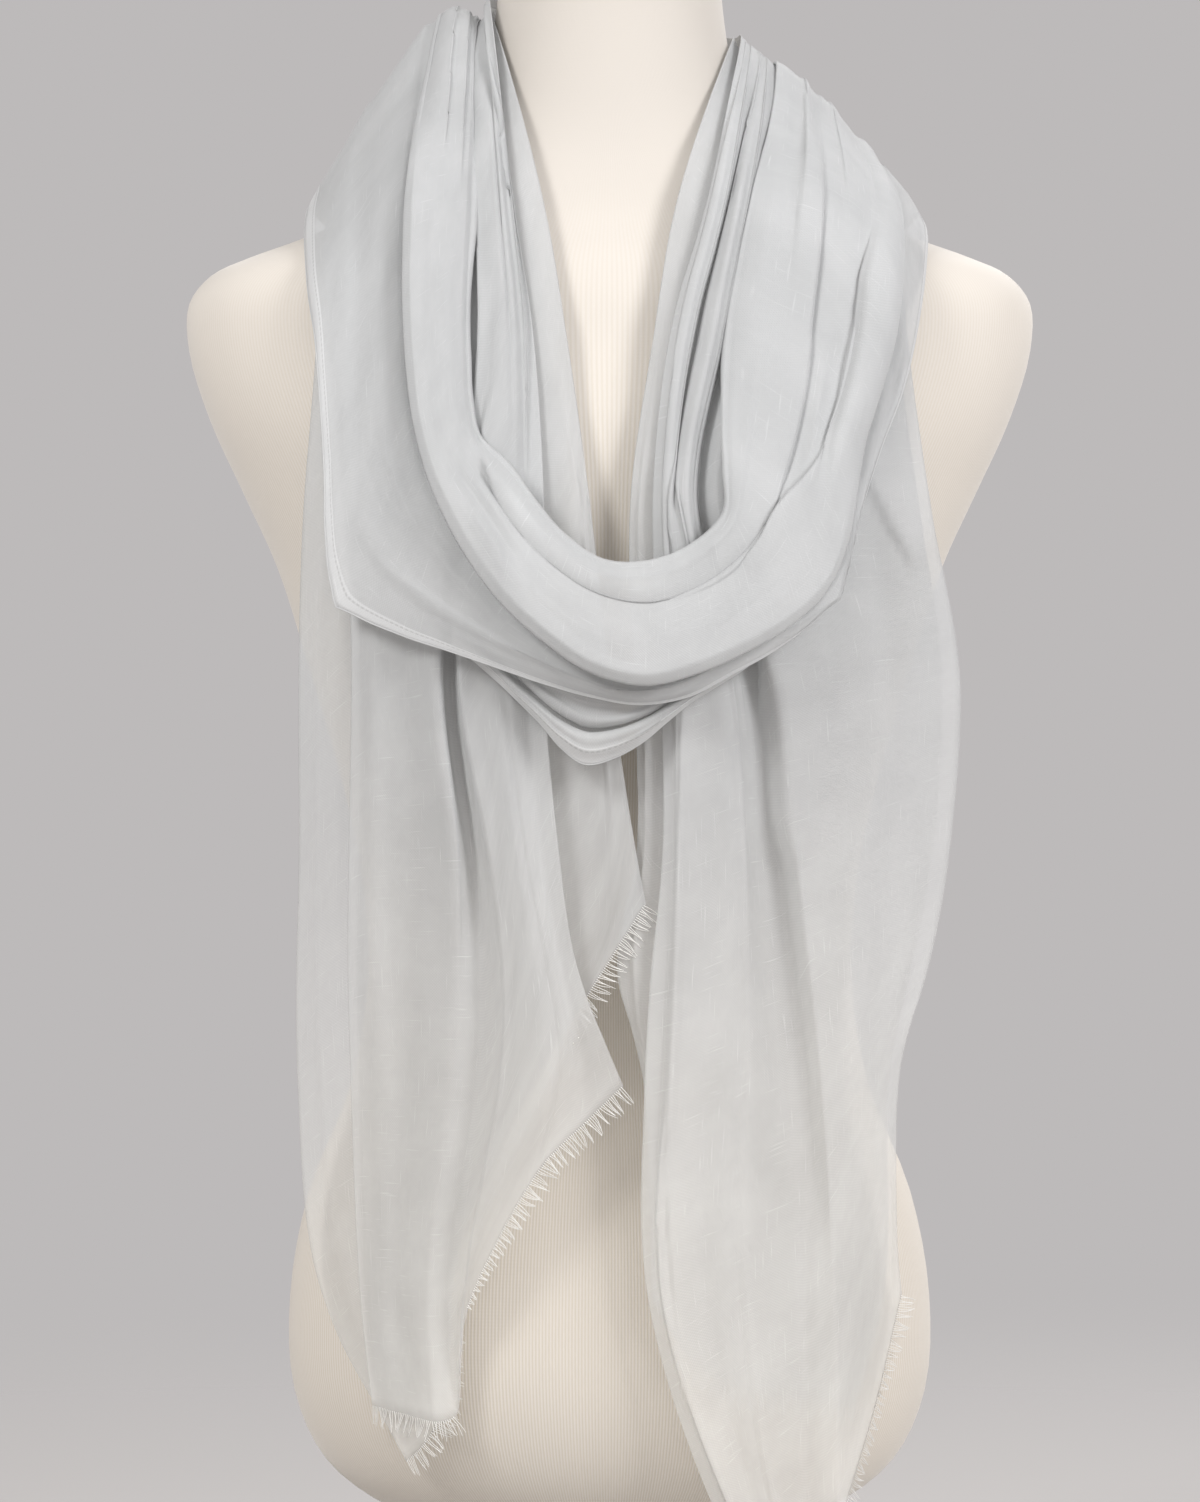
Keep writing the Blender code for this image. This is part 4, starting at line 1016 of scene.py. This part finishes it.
# stations run from the left end (0) over the left shoulder (26) and the right one (40) to 72,
# and folds from the outer one (0) to the inner hem (8)
STRIP_CREASES = [
    Crease(-4, 14, 1.6, 1.4, 0.1, 6.0, 8.0, -1.6), Crease(8, 17, 3.0, 3.0, 0.0, 9.0, 1.1, 3.4),
    Crease(8, 17, 5.0, 5.0, 0.0, 1.1, 8.0, 3.4), Crease(8, 17, 4.0, 4.0, 0.0, 4.0, 4.0, -4.0),
    Crease(-2, 10, 4.4, 4.9, 0.2, 1.4, 7.0, 1.6), Crease(-2, 12, 6.0, 5.8, 0.1, 6.0, 8.0, -2.0),
    Crease(13, 28, 4.7, 5.2, -0.5, 1.0, 7.0, 3.6), Crease(14, 28, 6.0, 6.2, -0.3, 4.0, 4.0, -2.2),
    Crease(13, 28, 6.9, 7.3, -0.4, 1.0, 5.0, 2.8), Crease(14, 28, 3.8, 3.9, 0.0, 3.0, 3.0, -2.0),
    Crease(26, 41, 1.6, 2.2, 0.5, 1.6, 9.0, 2.6), Crease(26, 41, 3.4, 3.0, -0.4, 3.0, 5.0, -2.0),
    Crease(27, 40, 4.6, 5.2, 0.4, 1.4, 7.0, 2.2), Crease(27, 40, 6.4, 6.0, -0.4, 2.6, 3.0, -1.6),
    Crease(28, 39, 0.7, 0.9, 0.3, 4.4, 6.0, 2.0), Crease(27, 38, 7.2, 7.4, 0.2, 1.2, 3.0, 1.3),
    Crease(39, 56, 4.6, 4.5, 0.1, 7.0, 1.0, 2.6), Crease(39, 54, 5.6, 5.5, -0.1, 5.0, 1.0, 2.4),
    Crease(39, 55, 6.6, 6.5, 0.1, 5.0, 1.0, 2.4), Crease(39, 53, 7.4, 7.3, 0.0, 4.0, 1.0, 1.6),
    Crease(50, 78, 7.3, 7.2, 0.0, 5.0, 1.2, 1.6), Crease(52, 78, 6.1, 5.9, 0.1, 7.0, 9.0, -2.0),
]
STRIP_LINES = [
    Line([(110, 596), (117, 576), (128, 556), (142, 532)], 0, 4, 9.0, 1.2, 3.0),
    Line([(70, 545), (70, 500), (71, 450), (74, 395)], 1, 8, 14.0, 1.4, 3.2),
    Line([(63, 545), (64, 500), (67, 440), (75, 363), (84, 300), (93, 242), (99, 195)],
         1, 8, 11.0, 9.0, -4.4),
    Line([(118, 560), (126, 520), (131, 430), (128, 340), (124, 260)], 0, 3, 7.0, 7.0, -2.2),
    Line([(34, 505), (33, 440), (30, 340), (27, 250), (34, 150)], 5, 8, 5.0, 1.0, 1.8),
]
STRIP_SWELLS = [Swell(49, 73, 5.2, 6.9, 1.5), Swell(47, 73, 0.3, 3.0, 2.0), Swell(-3, 8, 0.4, 2.8, 1.0)]


def nape_line(right, left, centre_z, out, steps):
    """One fold round the back, from the right shoulder to the left one."""
    square = OVAL + SQUARER_SHOULDERS * ease((760 - centre_z) / 100)
    line = []
    for step in range(NAPE_SAMPLES + 1):
        turn = pi * step / NAPE_SAMPLES
        side_x, side_z = right if step * 2 <= NAPE_SAMPLES else left
        reach = read(HANG, centre_z, "back") + out * sin(turn) ** 2
        x = abs(side_x) * cos(turn)
        y = RIDGE_Y + (reach - RIDGE_Y) * max(0.0, 1 - abs(cos(turn)) ** square) ** (1 / square)
        z = side_z + (centre_z - side_z) * sin(turn) ** NAPE_FALL
        line.append(Vector((x, y, z)))
    return evenly(line, steps)


STRIP_FOLDS = len(LEFT_TAIL_FRONT) - 1
STRIP_FINER = (4, 6)
CORNER_BARE = 13            # columns past the corner without threads
lines = []
for k, (left, right) in enumerate(zip(LEFT_TAIL_FRONT, RIGHT_TAIL_FRONT)):
    share = k / STRIP_FOLDS
    centre = NAPE_INNER["low"] * (1 - share) + NAPE_INNER["high"] * share
    out = NAPE_INNER["off"] + NAPE_INNER["crest"] * (k % 2)
    up = tail_line(left, "front", TAIL_STEPS["left"])[::-1]
    round_back = nape_line(right.ridge, left.ridge, centre, out, NAPE_STEPS)[::-1]
    down = tail_line(right, "front", TAIL_STEPS["right"])
    lines.append(up + round_back[1:-1] + down)
strip = lay_over(across(lines), coarse_layers)
coarse_layers.append((tree_of(strip), OVER_CLOTH))
strip_stations = len(strip) - 1
grid = drawn_out(fine_grid(strip, *STRIP_FINER), strip_stations, STRIP_FOLDS, STRIP_SWELLS)
strip_crinkles = crinkles(21, 180, strip_stations, STRIP_FOLDS, 0.3)
grid = creased(grid, strip_stations, STRIP_FOLDS, STRIP_CREASES + strip_crinkles)
strip_grid = rest_on(lined(grid, STRIP_FOLDS, STRIP_LINES), SHEET_GAP)
strip_piece = cloth_piece("gauze_tails_front", strip_grid)
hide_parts("left_tail_front", "nape_inner", "right_tail_front")
# the left end's first run of threads goes to the fifth fold, where the cut end turns up
corner = 4 * CELLS * STRIP_FINER[1]
strip_threads = [
    fringe_piece("threads_left_corner", "fringe_left_corner",
                 strip_grid[0][:corner + 1], strip_grid[3][:corner + 1], 11),
    fringe_piece("threads_left_front", "fringe_left_front",
                 strip_grid[0][corner + CORNER_BARE:], strip_grid[3][corner + CORNER_BARE:],
                 12, first=0.3),
    fringe_piece("threads_right_front", "fringe_right_front", strip_grid[-1], strip_grid[-4], 13),
]


# Below the loop's hem a narrow stretch of the same cloth shows, folded back on
# itself twice, with its own stitched edge at the bottom.
UNDER_X = [-72, -55, -35, -12, 10, 35, 60, 80]
UNDER_STEPS = 14
Under = namedtuple("Under", "name out heights")
LOOP_UNDER_FOLD = [
    Under("upper edge", 20, [530, 518, 502, 492, 488, 496, 512, 528]),
    Under("upper crest", 26, [523, 509, 489, 476, 474, 486, 504, 522]),
    Under("slit top", 25, [516, 500, 479, 464, 466, 480, 498, 516]),
    Under("slit", 20, [510, 494, 475, 460, 463, 477, 493, 511]),
    Under("lower crest", 26, [504, 489, 470, 454, 458, 473, 489, 506]),
    Under("lower hem", 22, [497, 483, 464, 442, 449, 469, 485, 501]),
]
UNDER_CREASES = [
    Crease(1, 13, 2.2, 2.3, 0.1, 5.0, 0.9, 2.6), Crease(2, 12, 3.0, 3.1, 0.0, 2.0, 2.4, -3.4),
    Crease(1, 11, 0.9, 1.2, 0.1, 4.0, 0.9, 2.0), Crease(2, 10, 1.5, 1.7, 0.0, 1.6, 2.0, -2.4),
    Crease(1, 13, 4.3, 4.2, 0.2, 0.9, 3.0, 1.0),
]
lines = []
for row in LOOP_UNDER_FOLD:
    places = spline(list(zip(UNDER_X, row.heights)), SAMPLES)
    lines.append(evenly([front_point(x, z, row.out, NECK_TOP) for x, z, _ in places], UNDER_STEPS))
under = lay_over(across(lines), coarse_layers)
coarse_layers.append((tree_of(under), OVER_CLOTH))
under_folds = len(LOOP_UNDER_FOLD) - 1
under_crinkles = crinkles(5, 30, UNDER_STEPS, under_folds, 0.35)
grid = creased(fine_grid(under, 8, 6), UNDER_STEPS, under_folds, UNDER_CREASES + under_crinkles)
under_grid = rest_on(grid, SHEET_GAP)
under_piece = cloth_piece("gauze_under_fold", under_grid, "inner")
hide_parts("loop_under_fold")
under_hem = hem_piece("hem_under_fold", under_grid[:, -1])


# The loop: from the left shoulder across the chest to the right one and round the
# upper back. Its outer panel lies flat to a stitched hem, a wide roll lies over it,
# and a soft lip turns in at the neck.
LOOP_STEPS = 32
LIP_ROUND = 2.6             # radius of the soft inner edge
LIP_RETURN = 2.0            # how far the cloth runs back under it, for each mm of radius
LIP_ROOM = 1.4              # left clear under it
NAPE_OUTER = {"low": 640, "high": 796, "off": 8, "crest": 9}
ARM_HEIGHTS = [700, 640, 590]
# out is how far a fold stands out at its left arm, its dip and its right arm, and the
# arms are its x at those heights
Loop = namedtuple("Loop", "name out left_ridge left_arm left_turn left_low dip "
                          "right_low right_turn right_arm right_ridge")
FRONT_LOOP = [
    Loop("outer hem", (11, 31, 2), (-133, 696), [None, -129, -128], (-121, 519), (-60, 489),
         (20, 469), (57, 484), (94, 512), [119, 131, None], (137, 693)),
    Loop("outer valley", (14, 33, 5), (-112, 741), [-118, -120, -116], (-108, 528), (-55, 495),
         (16, 472), (56, 488), (97, 515), [118, 129, None], (134, 701)),
    Loop("panel fall", (17, 34, 8), (-98, 768), [-106, -106, -103], (-95, 538), (-50, 501),
         (13, 475), (55, 491), (98, 519), [117, 127, 131], (131, 708)),
    Loop("panel root", (12, 32, 10), (-87, 788), [-95, -95, -91], (-80, 549), (-45, 508),
         (10, 479), (53, 493), (97, 523), [114, 124, 129], (128, 714)),
    Loop("tuck", (11, 31, 12), (-83, 792), [-84, -84, -78], (-65, 560), (-36, 520),
         (7, 488), (50, 499), (92, 529), [109, 121, 126], (125, 719)),
    Loop("band hem", (20, 42, 20), (-80, 796), [-89, -89, -83], (-71, 555), (-42, 512),
         (7, 480), (53, 490), (100, 524), [115, 128, 130], (122, 724)),
    Loop("band lower crest", (26, 47, 27), (-77, 798), [-86, -86, -80], (-67, 558), (-39, 517),
         (7, 487), (50, 497), (96, 528), [112, 125, 127], (119, 729)),
    Loop("band crown", (27, 49, 28), (-73, 799), [-80, -82, -77], (-63, 561), (-36, 522),
         (8, 495), (47, 504), (86, 533), [107, 119, 122], (114, 735)),
    Loop("band valley", (20, 40, 17), (-70, 799), [-75, -77, -73], (-60, 564), (-34, 527),
         (8, 502), (44, 511), (78, 536), [101, 111, 115], (108, 742)),
    Loop("band upper crest", (20, 40, 25), (-67, 799), [-71, -73, -69], (-57, 567), (-32, 532),
         (8, 509), (41, 517), (70, 540), [90, 99, 104], (101, 749)),
    Loop("lip seam", (15, 32, 15), (-65, 798), [-68, -70, -66], (-54, 570), (-29, 537),
         (8, 517), (38, 523), (64, 545), [81, 89, 94], (93, 756)),
    Loop("lip crest", (15, 34, 20), (-63, 797), [-65, -67, -63], (-51, 574), (-26, 542),
         (4, 524), (35, 530), (58, 549), [67, 70, 79], (85, 763)),
    Loop("inner roll", (10, 28, 10), (-61, 795), [-62, -64, -59], (-47, 577), (-23, 546),
         (2, 531), (30, 536), (51, 553), [51, 53, 62], (76, 770)),
]
# stations run from the left shoulder (0) through the dip to the right one (32) and
# round the back to 46
LOOP_CREASES = [
    Crease(-2, 21, 5.1, 5.1, 0.0, 1.0, 9.0, 3.4), Crease(0, 14, 3.4, 3.6, 0.0, 7.0, 4.0, -2.4),
    Crease(1, 10, 1.6, 1.2, 0.2, 9.0, 12.0, -1.4), Crease(8, 17, 2.2, 2.8, 0.1, 3.0, 4.0, 0.8),
    Crease(10, 20, 1.1, 1.8, 0.2, 4.0, 1.5, 1.0), Crease(12, 22, 0.9, 1.3, 0.2, 1.8, 2.4, -0.6),
    Crease(-2, 5, 8.2, 8.8, 0.1, 6.0, 1.1, 1.8), Crease(-3, 6, 10.2, 10.6, 0.1, 5.0, 1.0, 1.6),
    Crease(15, 24, 11.4, 11.2, 0.1, 2.0, 3.0, 0.8), Crease(25, 35, 10.7, 10.5, 0.0, 6.0, 1.1, 1.8),
    Crease(27, 35, 8.8, 9.0, 0.0, 6.0, 1.1, 1.4), Crease(22, 33, 11.2, 11.0, 0.0, 5.0, 6.0, -1.6),
    Crease(31, 47, 1.4, 1.6, 0.5, 12.0, 2.0, 3.6), Crease(32, 46, 2.7, 2.4, -0.5, 7.0, 8.0, -3.0),
    Crease(31, 45, 3.9, 4.1, 0.4, 10.0, 1.8, 3.2), Crease(33, 47, 5.2, 5.6, 0.4, 5.0, 6.0, -2.6),
    Crease(31, 46, 6.7, 6.4, -0.4, 9.0, 1.6, 3.0), Crease(32, 47, 8.2, 8.0, 0.4, 4.0, 5.0, -2.2),
    Crease(31, 44, 9.4, 9.6, 0.3, 7.0, 1.4, 2.6), Crease(34, 47, 10.6, 10.4, -0.3, 3.0, 4.0, -1.8),
    Crease(32, 43, 0.6, 0.9, 0.3, 7.0, 7.0, 2.2),
]
LOOP_LINES = [
    Line([(-66, 680), (-64, 619), (-56, 581), (-36, 543), (-2, 520), (22, 517), (50, 527), (67, 546),
          (80, 584), (88, 617), (90, 646), (96, 695), (98, 739)], 8, 12, 8.0, 1.4, 2.6),
    Line([(121, 690), (117, 655), (113, 638), (106, 605), (101, 590), (92, 573), (78, 557), (71, 544),
          (58, 531)], 5, 10, 10.0, 1.5, 3.6),
    Line([(104, 640), (97, 605), (88, 585), (74, 566)], 6, 12, 5.0, 8.0, -1.6),
    Line([(-118, 560), (-96, 530), (-70, 505), (-40, 488)], 0, 3, 4.0, 5.0, 0.8),
]
LOOP_SWELLS = [
    Swell(-4, 14, 5.7, 11.3, 3.0), Swell(-4, 15, 0.2, 3.2, 1.5), Swell(12, 24, 5.7, 9.7, 3.0),
    Swell(12, 24, 10.2, 11.8, 1.5), Swell(22, 34, 10.2, 11.9, 2.0), Swell(22, 34, 7.7, 9.8, 1.0),
    Swell(22, 33, 5.4, 7.2, 2.0),
]
# the two lower corners of the outer panel are sharp: x, z, and how far each is drawn out
LOOP_CORNERS = [(-122, 518, -5, -5), (101, 521, 4, -3)]
CORNER_REACH = 9.0


def cornered(grid, columns):
    """Draws the panel's corners out to points."""
    for x, z, side, down in LOOP_CORNERS:
        part = grid[:, :columns]
        away = np.hypot(part[..., 0] - x, part[..., 2] - z)
        pull = np.exp(-away / CORNER_REACH) * (part[..., 1] < 0)
        part[..., 0] += side * pull
        part[..., 2] += down * pull
    return grid


def loop_line(row, steps):
    """One fold of the loop, from the left shoulder through the dip to the right one."""
    left = [(x, z) for x, z in zip(row.left_arm, ARM_HEIGHTS) if x is not None]
    right = [(x, z) for x, z in zip(row.right_arm, reversed(ARM_HEIGHTS)) if x is not None]
    places = [row.left_ridge] + left + [row.left_turn, row.left_low, row.dip]
    places += [row.right_low, row.right_turn] + right + [row.right_ridge]
    line = []
    for x, z, _ in spline(places, SAMPLES):
        low = ease((ARM_HEIGHTS[1] - z) / (ARM_HEIGHTS[1] - row.dip[1]))
        left, dip, right = row.out
        arm, ridge_z = (left, row.left_ridge[1]) if x < row.dip[0] else (right, row.right_ridge[1])
        line.append(front_point(x, z, arm + (dip - arm) * low, ridge_z))
    return evenly(line, steps)


def rolled_lip(grid):
    """The inner edge rolled over and back under, as tight as the room below it allows."""
    below = all_below()
    edge = grid[:, -1]
    way = outward_of(grid)[:, -1]
    side = edge - grid[:, -4]
    side -= way * (side * way).sum(axis=1, keepdims=True)
    side /= np.linalg.norm(side, axis=1, keepdims=True)
    room = []
    for point, down in zip(edge.tolist(), (-way).tolist()):
        distance = below.ray_cast(point, down, 2 * LIP_ROUND + LIP_ROOM)[3]
        room.append(2 * LIP_ROUND if distance is None else max(0.8, distance - LIP_ROOM))
    room = np.convolve(np.pad(room, 4, mode="wrap"), np.ones(9) / 9, mode="valid")
    radius = (np.minimum(room, 2 * LIP_ROUND) / 2)[:, None]
    columns = [grid[:, k] for k in range(grid.shape[1])]
    for turn in np.linspace(0, pi, 9)[1:]:
        columns.append(edge + side * radius * sin(turn) - way * radius * (1 - cos(turn)))
    for share in (0.35, 0.7, 1.0):
        columns.append(columns[grid.shape[1] + 7] - side * radius * LIP_RETURN * share)
    return np.stack(columns, axis=1)


LOOP_FOLDS = len(FRONT_LOOP) - 1
LOOP_FINER = (6, 6)
lines = []
for k, row in enumerate(FRONT_LOOP):
    share = k / LOOP_FOLDS
    centre = NAPE_OUTER["low"] * (1 - share) + NAPE_OUTER["high"] * share
    out = NAPE_OUTER["off"] + NAPE_OUTER["crest"] * (1 + sin(2.1 * k))
    front = loop_line(row, LOOP_STEPS)
    back = nape_line(row.right_ridge, row.left_ridge, centre, out, NAPE_STEPS)
    lines.append(front + back[1:])
ring = lay_over(across(lines), coarse_layers)
ring[-1] = ring[0]
ring_stations = len(ring) - 1
grid = fine_grid(ring, *LOOP_FINER, closed=True)
grid = drawn_out(grid, ring_stations, LOOP_FOLDS, wrapped(LOOP_SWELLS, ring_stations))
ring_creases = LOOP_CREASES + crinkles(33, 170, ring_stations, LOOP_FOLDS, 0.3)
grid = creased(grid, ring_stations, LOOP_FOLDS, wrapped(ring_creases, ring_stations))
grid = cornered(lined(grid, LOOP_FOLDS, LOOP_LINES), 2 * CELLS * LOOP_FINER[1])
loop_grid = rolled_lip(rest_on(grid, SHEET_GAP))
loop_grid[-1] = loop_grid[0]
loop_piece = cloth_piece("gauze_loop", loop_grid, "outer", closed=True)
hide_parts("front_loop", "nape_outer")
loop_hem = hem_piece("hem_loop", loop_grid[:, 0])
